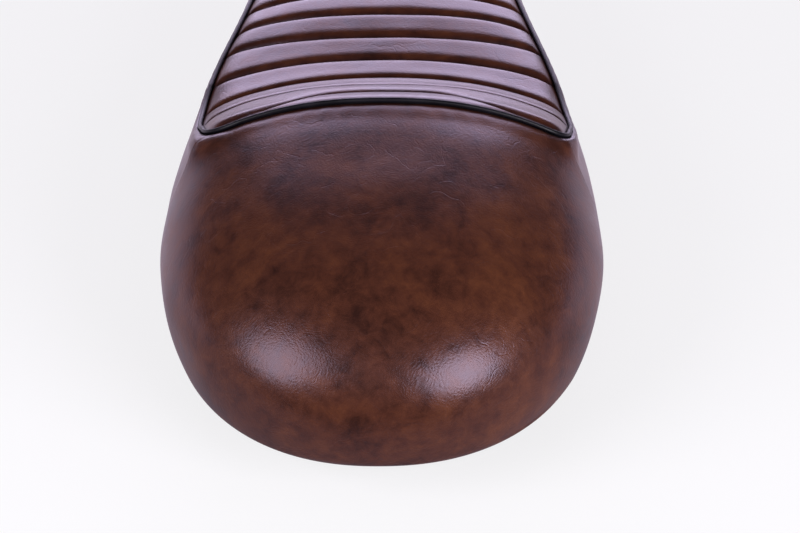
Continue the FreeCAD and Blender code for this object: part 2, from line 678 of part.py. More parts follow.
# Rubber feet: a tapered foot below the pan, a neck through its floor and a barb above it.
buffer_pieces = cylinders("buffer_neck", BUFFER_PLACES, "dims.buffer_neck / 2", "0", "dims.pan_floor")
for number, (x, y) in enumerate(BUFFER_PLACES, 1):
    foot = add("Part::Cone", "buffer_foot_%d" % number, Radius1="dims.buffer_tip_diameter / 2",
               Radius2="dims.buffer_diameter / 2", Height="dims.buffer_height")
    barb = add("Part::Cone", "buffer_barb_%d" % number, Radius1="dims.buffer_barb / 2",
               Radius2="dims.buffer_neck / 2", Height="dims.buffer_barb_height")
    buffer_pieces += [place(foot, x, y, "-dims.buffer_height"), place(barb, x, y, "dims.pan_floor")]
rubber_buffers = combined("rubber_buffers", buffer_pieces)

# Rivets along the middle of the hem.
rivet_spots = []
for panel in PANELS:
    rivet_spots += spread_along(under_line(panel, d.edge_radius + d.hem_width / 2), d.rivet_pitch)


def rivet_pads(name, radius, z, height):
    """The same upright disc at each rivet."""
    import Sketcher
    body = doc.addObject("PartDesign::Body", name)
    sketch = sketch_on_floor(body, name + "_circles")
    for spot in rivet_spots:
        sketch.addGeometry(Part.Circle(spot, Vector(0, 0, 1), 1), False)
    for number in range(1, len(rivet_spots)):
        sketch.addConstraint(Sketcher.Constraint("Equal", 0, number))
    named(sketch, ("Radius", 0, 1), "radius", radius)
    pad = body.newObject("PartDesign::Pad", name + "_pad")
    pad.Profile = sketch
    bind(pad, Length=height)
    return place(body, "0", "-dims.crest_to_mount", z)


HEM_UNDERSIDE = "-dims.leather_thickness - dims.cover_gap"
cover_rivets = combined("cover_rivets", [
    rivet_pads("rivet_heads", "dims.rivet_head_diameter / 2",
               HEM_UNDERSIDE + " - dims.rivet_head_height", "dims.rivet_head_height"),
    rivet_pads("rivet_shanks", "dims.rivet_diameter / 2", HEM_UNDERSIDE,
               "dims.leather_thickness + dims.cover_gap + dims.pan_floor"),
    rivet_pads("rivet_tails", "dims.rivet_tail_diameter / 2", "dims.pan_floor", "dims.rivet_tail_height")])
rivet_holes = rivet_pads("rivet_holes", "(dims.rivet_diameter + dims.rivet_clearance) / 2",
                         HEM_UNDERSIDE + " - 1", "dims.leather_thickness + dims.cover_gap + dims.pan_floor + 2")

# Pan: the lower slice of what the cover encloses, hollowed down to its floor.
envelope = formed("envelope", envelope_solid())
slab = add("Part::Box", "pan_slab", Length="2 * dims.hump_width",
           Width="2 * (dims.hump_length + dims.front_reach)", Height="2 * dims.pan_lip")
place(slab, "-dims.hump_width", "-dims.hump_length - dims.front_reach", "-dims.pan_lip")
pan_blank = doc.addObject("Part::Common", "pan_blank")
pan_blank.Base, pan_blank.Tool = envelope, slab

inner_lines = [under_line(panel, lining + d.lip_wall) for panel in PANELS]
inner_wire = Part.Wire([curve_through(line, chords(line)).toShape() for line in inner_lines])
pan_cavity = formed("pan_cavity", Part.Face(inner_wire).extrude(Vector(0, 0, d.pan_lip)))
place(pan_cavity, "0", "-dims.crest_to_mount", "dims.pan_floor")

pan_holes = cylinders("stud_hole", STUD_PLACES, STUD_HOLE, "-1", "dims.pan_floor + 2")
pan_holes += cylinders("buffer_hole", BUFFER_PLACES, "dims.buffer_neck / 2", "-1", "dims.pan_floor + 2")
pan_holes += cylinders("vent", VENT_PLACES, "dims.vent_diameter / 2", "-1", "dims.pan_floor + 2")
for number, shift in enumerate(("-dims.flute_spacing", "0 * dims.flute_spacing", "dims.flute_spacing"), 1):
    flute = add("Part::Box", "flute_%d" % number, Length="dims.flute_width",
                Width="dims.flute_length - dims.flute_width", Height="dims.flute_depth + 1")
    place(flute, shift + " - dims.flute_width / 2", "-(dims.flute_length - dims.flute_width) / 2", "-1")
    pan_holes.append(flute)
    pan_holes += cylinders("flute_end_%d" % number,
                           [(shift, "%s(dims.flute_length - dims.flute_width) / 2" % s) for s in ("-", "")],
                           "dims.flute_width / 2", "-1", "dims.flute_depth + 1")
base_pan = cut("base_pan", pan_blank, combined("pan_cutters", [pan_cavity, rivet_holes] + pan_holes))

# Foam: what is left above the pan, with pockets for the straps, heads, barbs and rivet tails,
# cut square across into the seat slab and the hump block.
ROOM = "dims.pocket_clearance"
pockets = [base_pan]
for name, y in (("rear", "-dims.stud_spacing_along / 2"), ("front", "dims.stud_spacing_along / 2")):
    pocket = add("Part::Box", name + "_strap_pocket", Length="dims.strap_length + 2 * " + ROOM,
                 Width="dims.strap_width + 2 * " + ROOM, Height="dims.strap_thickness + " + ROOM)
    pockets.append(place(pocket, "-dims.strap_length / 2 - " + ROOM,
                         y + " - dims.strap_width / 2 - " + ROOM, "dims.pan_floor"))
pockets += cylinders("head_pocket", STUD_PLACES, "dims.stud_head_diameter / 2 + " + ROOM, "dims.pan_floor",
                     "dims.strap_thickness + dims.stud_head_height + " + ROOM)
pockets += cylinders("barb_pocket", BUFFER_PLACES, "dims.buffer_barb / 2 + " + ROOM, "dims.pan_floor",
                     "dims.buffer_barb_height + " + ROOM)
pockets.append(rivet_pads("tail_pockets", "dims.rivet_tail_diameter / 2 + " + ROOM, "dims.pan_floor",
                          "dims.rivet_tail_height + " + ROOM))
floor_slab = add("Part::Box", "floor_slab", Length="2 * dims.hump_width",
                 Width="2 * (dims.hump_length + dims.front_reach)", Height="2 * dims.pan_floor")
place(floor_slab, "-dims.hump_width", "-dims.hump_length - dims.front_reach", "-dims.pan_floor")
foam = cut("foam", envelope, combined("foam_cutters", pockets + [floor_slab]))
foams = []
for name, y in (("hump_foam", "dims.foam_joint - dims.crest_to_mount - 2 * dims.hump_length"),
                ("seat_foam", "dims.foam_joint - dims.crest_to_mount")):
    half = add("Part::Box", name + "_half", Length="2 * dims.hump_width", Height="3 * dims.crest_height",
               Width="2 * dims.hump_length" if name == "hump_foam" else "2 * dims.front_reach")
    place(half, "-dims.hump_width", y, "-dims.crest_height")
    block = doc.addObject("Part::Common", name)
    block.Base, block.Tool = foam, half
    foams.append(block)

# Cover panels, each a hair short of its seams, with rivet holes in their hems.
SEAM_ROOM_ACROSS = 1 - d.seam_gap / 2 / crest_half
SEAM_ROOM_ALONG = d.seam_gap / 2 / nose_corner_y
across_places = [place * SEAM_ROOM_ACROSS for place in ACROSS]
along_places = [mix(SEAM_ROOM_ALONG, 1 - SEAM_ROOM_ALONG, place) for place in ALONG]
covers = []
for name, station_at, places in (
        ("hump_cover", hump_station, across_places),
        ("nose_panel", nose_station, across_places),
        ("side_panel_left", lambda share: side_station(share, -1), along_places),
        ("side_panel_right", lambda share: side_station(share, 1), along_places)):
    covers.append(cut(name, formed(name + "_skin", cover_skin(station_at, places)), rivet_holes))

ribbed_panel = formed("ribbed_panel", ribbed_panel_solid())
piping = formed("piping", piping_solid())

NODES = [base_pan, front_mount_strap, rear_mount_strap, mount_studs, stud_washers, stud_nuts,
         rubber_buffers, cover_rivets, ribbed_panel, piping] + foams + covers
for node in NODES:
    node.Label = node.Name
doc.recompute()

faults = [obj.Name for obj in doc.Objects if "Invalid" in obj.State or "Error" in obj.State]
faults += [node.Name for node in NODES if node.Shape.isNull() or not node.Shape.isValid()]
if faults:
    raise RuntimeError("failed: " + ", ".join(faults))
os.makedirs("parts", exist_ok=True)
for node in NODES:
    node.Shape.exportStep("parts/%s.step" % node.Label)
    box = node.Shape.BoundBox
    print("%-18s %2d solids %10.0f mm3  x %7.1f %7.1f  y %7.1f %7.1f  z %6.1f %6.1f" % (
        node.Label, len(node.Shape.Solids), node.Shape.Volume,
        box.XMin, box.XMax, box.YMin, box.YMax, box.ZMin, box.ZMax))
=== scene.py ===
# %% [markdown]
# # A cafe racer seat with a rear hump
# The real seat is a moulded plastic pan with foam on it. Antiqued brown leatherette is sewn over the
# foam in five panels: a ribbed top, a hump cover, two sides and a nose. A black piping bead runs round
# the ribbed top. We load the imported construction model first. Hard pieces stay as they were built and
# only get a finish, and the soft ones are made again here with puffed rolls, seams and stitches.

# %% Load the frame
import math
import bpy
import numpy as np
from mathutils import Matrix, Vector


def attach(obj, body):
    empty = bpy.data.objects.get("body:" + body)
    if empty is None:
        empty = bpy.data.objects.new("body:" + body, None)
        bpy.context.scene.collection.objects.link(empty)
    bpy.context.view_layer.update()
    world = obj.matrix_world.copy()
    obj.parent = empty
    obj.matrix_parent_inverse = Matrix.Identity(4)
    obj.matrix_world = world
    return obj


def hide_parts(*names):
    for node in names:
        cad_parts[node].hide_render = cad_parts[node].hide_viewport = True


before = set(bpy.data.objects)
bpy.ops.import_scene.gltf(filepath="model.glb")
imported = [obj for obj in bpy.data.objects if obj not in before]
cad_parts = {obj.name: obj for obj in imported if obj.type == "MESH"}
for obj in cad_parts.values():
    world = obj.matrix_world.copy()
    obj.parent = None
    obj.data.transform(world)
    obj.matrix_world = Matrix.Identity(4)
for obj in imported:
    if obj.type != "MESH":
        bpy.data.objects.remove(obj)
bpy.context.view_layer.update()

print("nodes:", ", ".join(sorted(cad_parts)))

# %% [markdown]
# ## Working in millimetres
# The seat is easiest to think of in millimetres, measured from the middle of its crest line, where the
# hump meets the ribbed top, and from the underside of the pan. One function moves points from there to
# the frame, which is in metres with its origin between the four studs. Another puts objects in the scene.

# %% From millimetres at the crest to the frame
MM = 0.001
CREST_TO_MOUNT = 90.0  # the crest line lies this far behind the studs' middle
NUT_AND_WASHER = 8.1  # the pan's underside lies this far above the nuts' lower faces
CREST_SHIFT = np.array((0.0, -CREST_TO_MOUNT, NUT_AND_WASHER))


def placed(name, data):
    """New object in the scene."""
    obj = bpy.data.objects.new(name, data)
    bpy.context.scene.collection.objects.link(obj)
    return obj


def to_frame(points):
    """Points in millimetres from the crest and the pan's underside, as metres in the frame."""
    return (np.asarray(points) + CREST_SHIFT) * MM


# %% [markdown]
# ## The camera
# The photograph looks at the hump from behind and above, with a long lens. The angles, distance and
# lens below were fitted to the outline of the seat, so that new pieces can be laid over the picture.

# %% Camera
CAMERA_ELEVATION = math.radians(33.825)
CAMERA_AZIMUTH = math.radians(0.252)
CAMERA_ROLL = math.radians(-0.465)
CAMERA_DISTANCE = 1050.0
LOOKED_AT = (10.36, -60.0, 37.7)
FOCAL_PIXELS, IMAGE_WIDTH = 1883.5, 800

back = np.array([math.sin(CAMERA_AZIMUTH) * math.cos(CAMERA_ELEVATION),
                 -math.cos(CAMERA_AZIMUTH) * math.cos(CAMERA_ELEVATION),
                 math.sin(CAMERA_ELEVATION)])
right = np.cross(-back, (0, 0, 1))
right /= np.linalg.norm(right)
up = np.cross(right, -back)
rolled_right = math.cos(CAMERA_ROLL) * right + math.sin(CAMERA_ROLL) * up
rolled_up = math.cos(CAMERA_ROLL) * up - math.sin(CAMERA_ROLL) * right

lens = bpy.data.cameras.new("photo_camera")
lens.sensor_width = 36.0
lens.lens = FOCAL_PIXELS * lens.sensor_width / IMAGE_WIDTH
lens.clip_start, lens.clip_end = 0.05, 50.0
camera = placed("photo_camera", lens)
axes = Matrix((rolled_right, rolled_up, back)).transposed().to_4x4()
stand = to_frame(np.array(LOOKED_AT) + CAMERA_DISTANCE * back)
camera.matrix_world = Matrix.Translation(Vector(stand)) @ axes
bpy.context.scene.camera = camera
print("lens", round(lens.lens, 1), "mm, camera at", [round(v, 3) for v in camera.location])

# %% [markdown]
# ## Helpers for materials
# Colours are written as the hex values that a painter would pick on a screen. Shaders want linear
# light, so one function converts them. Another adds a node, sets its values and joins its inputs.

# %% Colour and node helpers
SMOOTH, MULTIPLY, ADD = {"interpolation_type": "SMOOTHSTEP"}, {"operation": "MULTIPLY"}, {"operation": "ADD"}
COLOURS = {"data_type": "RGBA"}


def linear(hex_colour):
    """sRGB hex to linear: c / 12.92 below 0.04045, else ((c + 0.055) / 1.055) to the power 2.4."""
    c = np.array([int(hex_colour[i:i + 2], 16) / 255 for i in (1, 3, 5)])
    c = np.where(c <= 0.04045, c / 12.92, ((c + 0.055) / 1.055) ** 2.4)
    return (*c.tolist(), 1.0)


def add_node(tree, kind, settings=None, **inputs):
    """Adds a shader node, applies its settings, and sets or links each input. A link is an output socket,
    or a node for its first output. The setting named stops holds the (place, hex colour) pairs of a ramp."""
    settings = dict(settings or {})
    made = tree.nodes.new("ShaderNode" + kind)
    for number, (place, colour) in enumerate(settings.pop("stops", ())):
        elements = made.color_ramp.elements
        element = elements[number] if number < 2 else elements.new(1.0)
        element.position, element.color = place, linear(colour)
    for name, value in settings.items():
        setattr(made, name, value)
    for name, value in inputs.items():
        socket = made.inputs[int(name[1:])] if name[1:].isdigit() else made.inputs[name.replace("_", " ")]
        value = value.outputs[0] if isinstance(value, bpy.types.Node) else value
        if isinstance(value, bpy.types.NodeSocket):
            tree.links.new(value, socket)
        else:
            socket.default_value = value
    return made


def per_mm(size):
    """Texture scale whose pattern repeats about every size millimetres, in metres of the frame."""
    return 1.0 / (size * MM)


def new_material(name, shown_hex):
    """Empty material with the colour that the solid view shows, and its node tree."""
    material = bpy.data.materials.new(name)
    material.use_nodes = True
    material.diffuse_color = linear(shown_hex)
    material.node_tree.nodes.clear()
    return material, material.node_tree


# %% [markdown]
# ## Studio light and floor
# Two soft round lamps behind the camera show as the two highlights on the hump. A broad pale sweep ahead
# of the seat is what the tops of the rolls mirror. The plain pale floor keeps the seat's shadow. Mirrored
# rays see it bright beside and ahead of the seat and dim behind it, so that the rims shine and the rear
# of the hump stays dark.

# %% Lights, world and floor
FLOOR_Z, FLOOR_HALF = -24.0 * MM, 4.0  # the ends of the four studs, and half the floor's width
WHITE_SHARE = 0.72  # how much of the floor's look is plain white, the rest lit paper
DIM_FROM, DIM_TO = -0.325, -0.36  # behind here, just below the picture, the mirrored floor is dim
ROOM_LIGHT = 0.12  # what the room adds to matt surfaces
WHITE, PAPER, LAMP_TINT, SWEEP_TINT, FLOOR_TINT = "#ffffff", "#f4f4f4", "#f8f4ff", "#ecdcff", "#f0e0f8"
ROUND, SWEEP = ("ELLIPSE", (1.0, 1.15), LAMP_TINT), ("RECTANGLE", (1.7, 1.174), SWEEP_TINT)
LAMPS = (("softbox_left", *ROUND, 19.0, (-1.02, -0.973, 0.64), (-0.045, -0.265, 0.069)),
         ("softbox_right", *ROUND, 31.0, (0.948, -1.259, 0.505), (0.046, -0.268, 0.064)),
         ("pale_sweep", *SWEEP, 25.0, (0.0, 1.75, 0.657), (0.0, 0.0, 0.657)))


def softbox(name, shape, size, hex_colour, power, place, aim):
    """Area light at place, turned so that it shines at aim, both in metres in the frame."""
    light = bpy.data.lights.new(name, "AREA")
    light.shape, (light.size, light.size_y) = shape, size
    light.energy, light.color = power, linear(hex_colour)[:3]
    obj = placed(name, light)
    obj.location = place
    obj.rotation_euler = (Vector(aim) - Vector(place)).to_track_quat("-Z", "Y").to_euler()
    obj.visible_camera = False


def ray_kinds(tree):
    """Outputs that are 1 for rays from the camera, and for rays that were mirrored or refracted."""
    path = add_node(tree, "LightPath").outputs
    mirrored = add_node(tree, "Math", {"operation": "MAXIMUM"},
                        _0=path["Is Glossy Ray"], _1=path["Is Transmission Ray"])
    return path["Is Camera Ray"], mirrored


for lamp in LAMPS:
    softbox(*lamp)

world = bpy.data.worlds.new("studio")
world.use_nodes = True
bpy.context.scene.world = world
tree = world.node_tree
tree.nodes.clear()
from_camera, mirrored = ray_kinds(tree)
ways = add_node(tree, "SeparateXYZ", Vector=add_node(tree, "TexCoord").outputs["Generated"])
in_front = add_node(tree, "MapRange", SMOOTH, Value=ways.outputs["Y"], From_Min=0.1, From_Max=0.6)
lowish = add_node(tree, "MapRange", SMOOTH, Value=ways.outputs["Z"], From_Max=0.15, To_Min=1.0, To_Max=0.05)
backdrop = add_node(tree, "Math", MULTIPLY, _0=in_front, _1=lowish)
dim = add_node(tree, "Mix", Factor=mirrored, A=ROOM_LIGHT, B=backdrop)
strength = add_node(tree, "Mix", Factor=from_camera, A=dim, B=1.0)
tint = add_node(tree, "Mix", COLOURS, Factor=mirrored, _6=linear(WHITE), _7=linear(SWEEP_TINT))
sky = add_node(tree, "Background", Color=tint.outputs[2], Strength=strength)
add_node(tree, "OutputWorld", Surface=sky)

floor_mesh = bpy.data.meshes.new("floor")
floor_corners = [(x * FLOOR_HALF, y * FLOOR_HALF, FLOOR_Z) for x, y in ((-1, -1), (1, -1), (1, 1), (-1, 1))]
floor_mesh.from_pydata(floor_corners, [], [(0, 1, 2, 3)])
floor = placed("floor", floor_mesh)
paper, tree = new_material("white_studio_paper", PAPER)
from_camera, mirrored = ray_kinds(tree)
spot = add_node(tree, "TexCoord").outputs["Object"]
forward = add_node(tree, "SeparateXYZ", Vector=spot).outputs["Y"]
# For mirrored rays the floor glows, a painted reflection on the seat: bright beside and ahead of it, with
# painted shade towards the rear and behind it.
beside = add_node(tree, "MapRange", SMOOTH, Value=forward, From_Min=-0.25, From_Max=0.05, To_Min=0.35)
behind = add_node(tree, "MapRange", SMOOTH, Value=forward,
                  From_Min=DIM_TO, From_Max=DIM_FROM, To_Min=0.03, To_Max=0.95)
shine = add_node(tree, "Math", MULTIPLY, _0=beside, _1=behind)
glow = add_node(tree, "Mix", Factor=mirrored, A=1.0, B=shine)
plain = add_node(tree, "Math", MULTIPLY, _0=from_camera, _1=WHITE_SHARE)
white_part = add_node(tree, "Math", {"operation": "MAXIMUM"}, _0=plain, _1=mirrored)
# For bounced light the floor is darker behind the seat: painted shade on the lower hump.
bounced = add_node(tree, "Mix", COLOURS, Factor=from_camera, _6=behind, _7=linear(PAPER))
lit = add_node(tree, "BsdfPrincipled", Base_Color=bounced.outputs[2], Roughness=0.9, Specular_IOR_Level=0.1)
tint = add_node(tree, "Mix", COLOURS, Factor=mirrored, _6=linear(WHITE), _7=linear(FLOOR_TINT))
white = add_node(tree, "Emission", Color=tint.outputs[2], Strength=glow)
both = add_node(tree, "MixShader", _0=white_part, _1=lit, _2=white)
add_node(tree, "OutputMaterial", Surface=both)
floor_mesh.materials.append(paper)
bpy.context.scene.view_settings.view_transform = "Standard"
print(len(LAMPS), "lamps, floor at", FLOOR_Z)

# %% [markdown]
# ## Antiqued leatherette
# The cover is vinyl on a knitted backing: a brown print, clouded darker and redder by hand-rubbed
# toning, under a satin lacquer. The eye sees clouds a few centimetres wide, a pebble grain of about a
# millimetre, and long fine creases from the roll it was stored on. Clouds are colour. Grain and creases
# are bump, because they are a tenth of a millimetre deep. Beside the seams and under the bead the colour
# is darker, part toning and part painted shade, and each piece carries that as an attribute.

# %% Leatherette
TONES = ((0.35, "#2b1610"), (0.49, "#442418"), (0.65, "#57301c"))  # dark, brown and warm
# Multiplied in beside the seams and under the bead: part toning, part painted shade.
SEAM_TONING_AND_SHADE, LACQUER_TINT = "#a08a86", "#f2e6ff"
CLOUD_MM, FLECK_MM, FLECK_SHARE = 46.0, 9.0, 0.42  # clouds of the toning, and the flecks in them
GRAIN_MM, PORE_MM = 1.3, 0.7  # pebble grain, and the finer pores on it
CREASES = ((34.0, 0.0), (20.4, 7.3))  # how far apart creases cross, and where they start
CREASE_HALF_WIDTH, CREASE_PATCH_MM = 0.013, 26.0  # creases show in patches
WANDER_MM, WANDER_BY = 24.0, 22.0  # creases and grain wander by this


def leatherette():
    material, tree = new_material("antiqued_leatherette", TONES[1][1])
    place = add_node(tree, "TexCoord").outputs["Object"]
    clouds = add_node(tree, "TexNoise", Vector=place, Scale=per_mm(CLOUD_MM), Detail=5.0,
                      Roughness=0.62, Distortion=0.9)
    flecks = add_node(tree, "TexNoise", Vector=place, Scale=per_mm(FLECK_MM), Detail=4.0,
                      Roughness=0.7, Distortion=0.4)
    toned = add_node(tree, "Mix", Factor=FLECK_SHARE, A=clouds, B=flecks)
    colour = add_node(tree, "ValToRGB", {"stops": TONES}, Fac=toned)
    # Darker beside the seams, in the channels and under the bead: part toning, part painted shade.
    seam_toning_and_shade = add_node(tree, "Attribute", {"attribute_name": "seam"}).outputs["Fac"]
    toned_and_shaded = add_node(tree, "Mix", {**COLOURS, "blend_type": "MULTIPLY"}, Factor=seam_toning_and_shade,
                      _6=colour, _7=linear(SEAM_TONING_AND_SHADE)).outputs[2]

    wander = add_node(tree, "TexNoise", Vector=place, Scale=per_mm(WANDER_MM), Detail=2.0)
    shift = add_node(tree, "VectorMath", {"operation": "SCALE"},
                     _0=wander.outputs["Color"], Scale=WANDER_BY * MM)
    bent = add_node(tree, "VectorMath", ADD, _0=place, _1=shift)
    lines = []
    for size, start in CREASES:
        moved = add_node(tree, "VectorMath", ADD, _0=bent, _1=(start,) * 3)
        field = add_node(tree, "TexNoise", Vector=moved, Scale=per_mm(size), Detail=1.5, Roughness=0.4)
        off = add_node(tree, "Math", {"operation": "SUBTRACT"}, _0=field, _1=0.5)
        away = add_node(tree, "Math", {"operation": "ABSOLUTE"}, _0=off)
        line = add_node(tree, "MapRange", SMOOTH, Value=away, From_Max=CREASE_HALF_WIDTH)
        shown = add_node(tree, "TexNoise", Vector=moved, Scale=per_mm(CREASE_PATCH_MM), Detail=1.0)
        mask = add_node(tree, "MapRange", SMOOTH, Value=shown, From_Min=0.5, From_Max=0.62)
        lines.append(add_node(tree, "Mix", Factor=mask, A=1.0, B=line))
    creases = add_node(tree, "Math", MULTIPLY, _0=lines[0], _1=lines[1])

    grain = add_node(tree, "TexVoronoi", {"feature": "SMOOTH_F1"}, Vector=bent,
                     Scale=per_mm(GRAIN_MM), Smoothness=0.6)
    pores = add_node(tree, "TexNoise", Vector=place, Scale=per_mm(PORE_MM), Detail=2.0)
    bump = add_node(tree, "Bump", {"invert": True}, Strength=0.6, Distance=0.12 * MM, Height=grain)
    for strength, depth, height in ((0.2, 0.04, pores), (0.5, 0.1, creases)):
        bump = add_node(tree, "Bump", Strength=strength, Distance=depth * MM, Height=height, Normal=bump)
    satin = add_node(tree, "MapRange", Value=flecks, From_Min=0.3, From_Max=0.7, To_Min=0.28, To_Max=0.35)
    shader = add_node(tree, "BsdfPrincipled", Base_Color=toned_and_shaded, Roughness=satin, IOR=1.47,
                      Specular_Tint=linear(LACQUER_TINT), Normal=bump)
    add_node(tree, "OutputMaterial", Surface=shader)
    return material


leather = leatherette()
print("leatherette has", len(leather.node_tree.nodes), "nodes")

# %% [markdown]
# ## The plainer finishes
# The other materials differ only in values, so one function makes them all: a colour that varies softly
# by a noise, a fine relief, and a roughness that may follow the colour. The bead is a cord wrapped in
# black vinyl with a fine calendered grain, and the thread is bonded polyester. Below the cover are a pan
# of matt ABS, zinc-plated steel with a cloudy film and rolling scratches, rubber with a paler bloom,
# tumbled rivets with tiny dings, and cream foam with open cells.

# %% Finishes
NOISE = ("TexNoise", {}, {"Detail": 2.0})
CELLS = ("TexVoronoi", {}, {})
SOFT_CELLS = ("TexVoronoi", {"feature": "SMOOTH_F1"}, {"Smoothness": 0.5})


def plain_finish(name, shown, tone, stops, relief, bump, rough, stretch=(1.0, 1.0, 1.0), **optics):
    """Material from its shown colour, its tone (size in mm, detail), the stops of its colour, its relief
    (kind, size in mm), its bump (strength, depth in mm), and one roughness or the two ends of a range."""
    material, tree = new_material(name, shown)
    place = add_node(tree, "TexCoord").outputs["Object"]
    shade = add_node(tree, "TexNoise", Vector=place, Scale=per_mm(tone[0]), Detail=tone[1])
    colour = add_node(tree, "ValToRGB", {"stops": stops}, Fac=shade)
    (kind, settings, inputs), size = relief
    drawn = add_node(tree, "Mapping", Vector=place, Scale=stretch)
    height = add_node(tree, kind, settings, Vector=drawn, Scale=per_mm(size), **inputs)
    raised = add_node(tree, "Bump", Strength=bump[0], Distance=bump[1] * MM, Height=height)
    if isinstance(rough, tuple):
        rough = add_node(tree, "MapRange", Value=shade, From_Min=0.3, From_Max=0.7,
                         To_Min=rough[0], To_Max=rough[1])
    shader = add_node(tree, "BsdfPrincipled", Base_Color=colour, Roughness=rough, Normal=raised, **optics)
    add_node(tree, "OutputMaterial", Surface=shader)
    return material


vinyl = plain_finish("black_piping_vinyl", "#141217", (18.0, 3.0), ((0.35, "#0b0a0e"), (0.7, "#16141a")),
                     (NOISE, 0.9), (0.3, 0.05), (0.36, 0.46), Specular_IOR_Level=0.22)
thread = plain_finish("bonded_brown_thread", "#4c2c1e", (0.8, 2.0), ((0.35, "#36200f"), (0.65, "#5a3726")),
                      (NOISE, 0.8), (0.5, 0.1), 0.6)
plastic = plain_finish("moulded_black_abs", "#1a1a1b", (40.0, 3.0), ((0.35, "#151516"), (0.65, "#222224")),
                       (SOFT_CELLS, 0.9), (0.5, 0.08), (0.5, 0.64), IOR=1.53)
zinc = plain_finish("zinc_plated_steel", "#b9bcbe", (16.0, 4.0),
                    ((0.35, "#a4a8ac"), (0.5, "#bcbfc0"), (0.65, "#c3bda9")), (NOISE, 0.6), (0.2, 0.03),
                    (0.26, 0.42), stretch=(1.0, 0.06, 1.0), Metallic=1.0)
rubber = plain_finish("moulded_black_rubber", "#1d1d1c", (9.0, 5.0), ((0.4, "#161616"), (0.7, "#2b2a28")),
                      (NOISE, 0.7), (0.3, 0.06), 0.78, IOR=1.52)
aluminium = plain_finish("tumbled_aluminium", "#c9cacb", (3.0, 3.0), ((0.35, "#b7b9bb"), (0.65, "#d0d1d1")),
                         (CELLS, 1.1), (0.25, 0.05), 0.36, Metallic=1.0)
foam = plain_finish("moulded_cream_foam", "#d8c58f", (50.0, 3.0), ((0.35, "#c9b47c"), (0.65, "#e2d2a3")),
                    (CELLS, 1.4), (0.7, 0.3), 0.9)
print("made", ", ".join(m.name for m in (vinyl, thread, plastic, zinc, rubber, aluminium, foam)))

# %% [markdown]
# ## The curves of the seat
# Every soft piece follows a few lines: the piping, which runs along the crest, down both sides and
# round the nose, and the widest line of the body below it. They are the same curves as in the
# construction model, written for whole arrays of places at once.

# %% Sizes and lines
CREST_HALF, PAD_HALF, PAD_FRONT_HALF = 104.0, 112.0, 82.5  # half widths of the piping
HUMP_HALF, BODY_FRONT_HALF = 125.0, 92.0  # half widths of the widest line
CREST_CROWN, PAD_CROWN, CROWN_POWER, CREST_BOW = 24.0, 14.0, 2.3, 1.5
SCOOP = ((0.0, 110.5), (37.0, 96.92), (48.0, 76.0), (107.0, 76.0))  # knots of the scoop's cubic
FRONT_REACH, LEVEL_END, NOSE_DROP, NOSE_SAG = 396.0, 280.0, 10.0, 60.0
NOSE_CORNER_Y = FRONT_REACH - NOSE_SAG
BULGE_HEIGHT, BULGE_SETBACK, HUMP_LENGTH, NOSE_DEPTH = 34.0, 28.0, 194.0, 70.0
RIM_TUCK, EDGE_RADIUS, HEM_WIDTH, LINING = 5.0, 6.0, 22.0, 1.8
PIPING_RADIUS, SEAM_ROOM, PIPING_STAND = 1.35, 2.3, 1.5
LEFT_CUT, RIGHT_CUT, NOSE_CUT = 21.0, 15.0, 12.0  # how far the bead is cut back at its corners
SEWN_ASIDE, SEWN_FADE = 3.0, 65.0  # how far the top was pulled to the right at the crest, and its fading


def mix(a, b, share):
    return a + (b - a) * share


def smooth_step(value):
    """0 below 0, 1 above 1, and t^2 (3 - 2t) between them."""
    t = np.clip(value, 0, 1)
    return t ** 2 * (3 - 2 * t)


def xyz(x, y, z):
    """Points from their three coordinates, each an array or one value for all."""
    return np.stack(np.broadcast_arrays(x, y, z), -1)


def unit(vectors):
    return vectors / np.maximum(np.linalg.norm(vectors, axis=-1, keepdims=True), 1e-12)


def cubic(a, b, c, d, t):
    """a (1 - t)^3 + 3 b t (1 - t)^2 + 3 c t^2 (1 - t) + d t^3."""
    return a * (1 - t) ** 3 + 3 * b * t * (1 - t) ** 2 + 3 * c * t ** 2 * (1 - t) + d * t ** 3


def bells(value, rows):
    """Sum of lift exp(-((value - place) / spread)^2) over rows of place, spread and lift."""
    return sum(lift * np.exp(-((value - place) / spread) ** 2) for place, spread, lift in rows)


def between(places, at, rows):
    """Rows that are given at some lengths, read on straight lines at other places."""
    return np.stack([np.interp(places, at, column) for column in rows.T], -1)


def travelled(points, axis):
    """Running length along one direction of a grid, from 0 at its first line."""
    steps = np.linalg.norm(np.diff(points, axis=axis), axis=-1)
    return np.concatenate([np.zeros_like(np.take(steps, [0], axis)), np.cumsum(steps, axis)], axis)


def pad_half_width(y):
    """Half the piping's width: 82.5 + 29.5 exp(-(p / 208)^2.9) - 8 exp(-(p / 35)^2), p from the crest."""
    past = np.maximum(y + CREST_BOW, 0)
    drawn_in = (PAD_HALF - CREST_HALF) * np.exp(-(past / 35.0) ** 2)
    return mix(PAD_FRONT_HALF, PAD_HALF, np.exp(-(past / 208.0) ** 2.9)) - drawn_in


def body_half_width(y):
    """Half the widest line's width: 92 + 33 exp(-((y + setback) / 215)^2.5)."""
    return mix(BODY_FRONT_HALF, HUMP_HALF, np.exp(-(np.maximum(y + BULGE_SETBACK, 0) / 215.0) ** 2.5))


scoop_y, scoop_z = cubic(*np.array(SCOOP), np.linspace(0, 1, 400)[:, None]).T


def mid_height(y):
    """Height of the middle line: the scoop's cubic, then level, then a fall with the square."""
    past = np.maximum(y - LEVEL_END, 0) / (FRONT_REACH - LEVEL_END)
    return np.interp(y, scoop_y, scoop_z) - NOSE_DROP * past ** 2


def mid_slope(y):
    return mid_height(y + 0.5) - mid_height(y - 0.5)


def crown(y):
    return mix(CREST_CROWN, PAD_CROWN, np.clip(y / SCOOP[3][0], 0, 1))


def seam_height(x, y):
    """Height of the seat's top between its rolls: middle height - crown |x / half width|^2.3."""
    return mid_height(y) - crown(y) * np.abs(x / pad_half_width(y)) ** CROWN_POWER


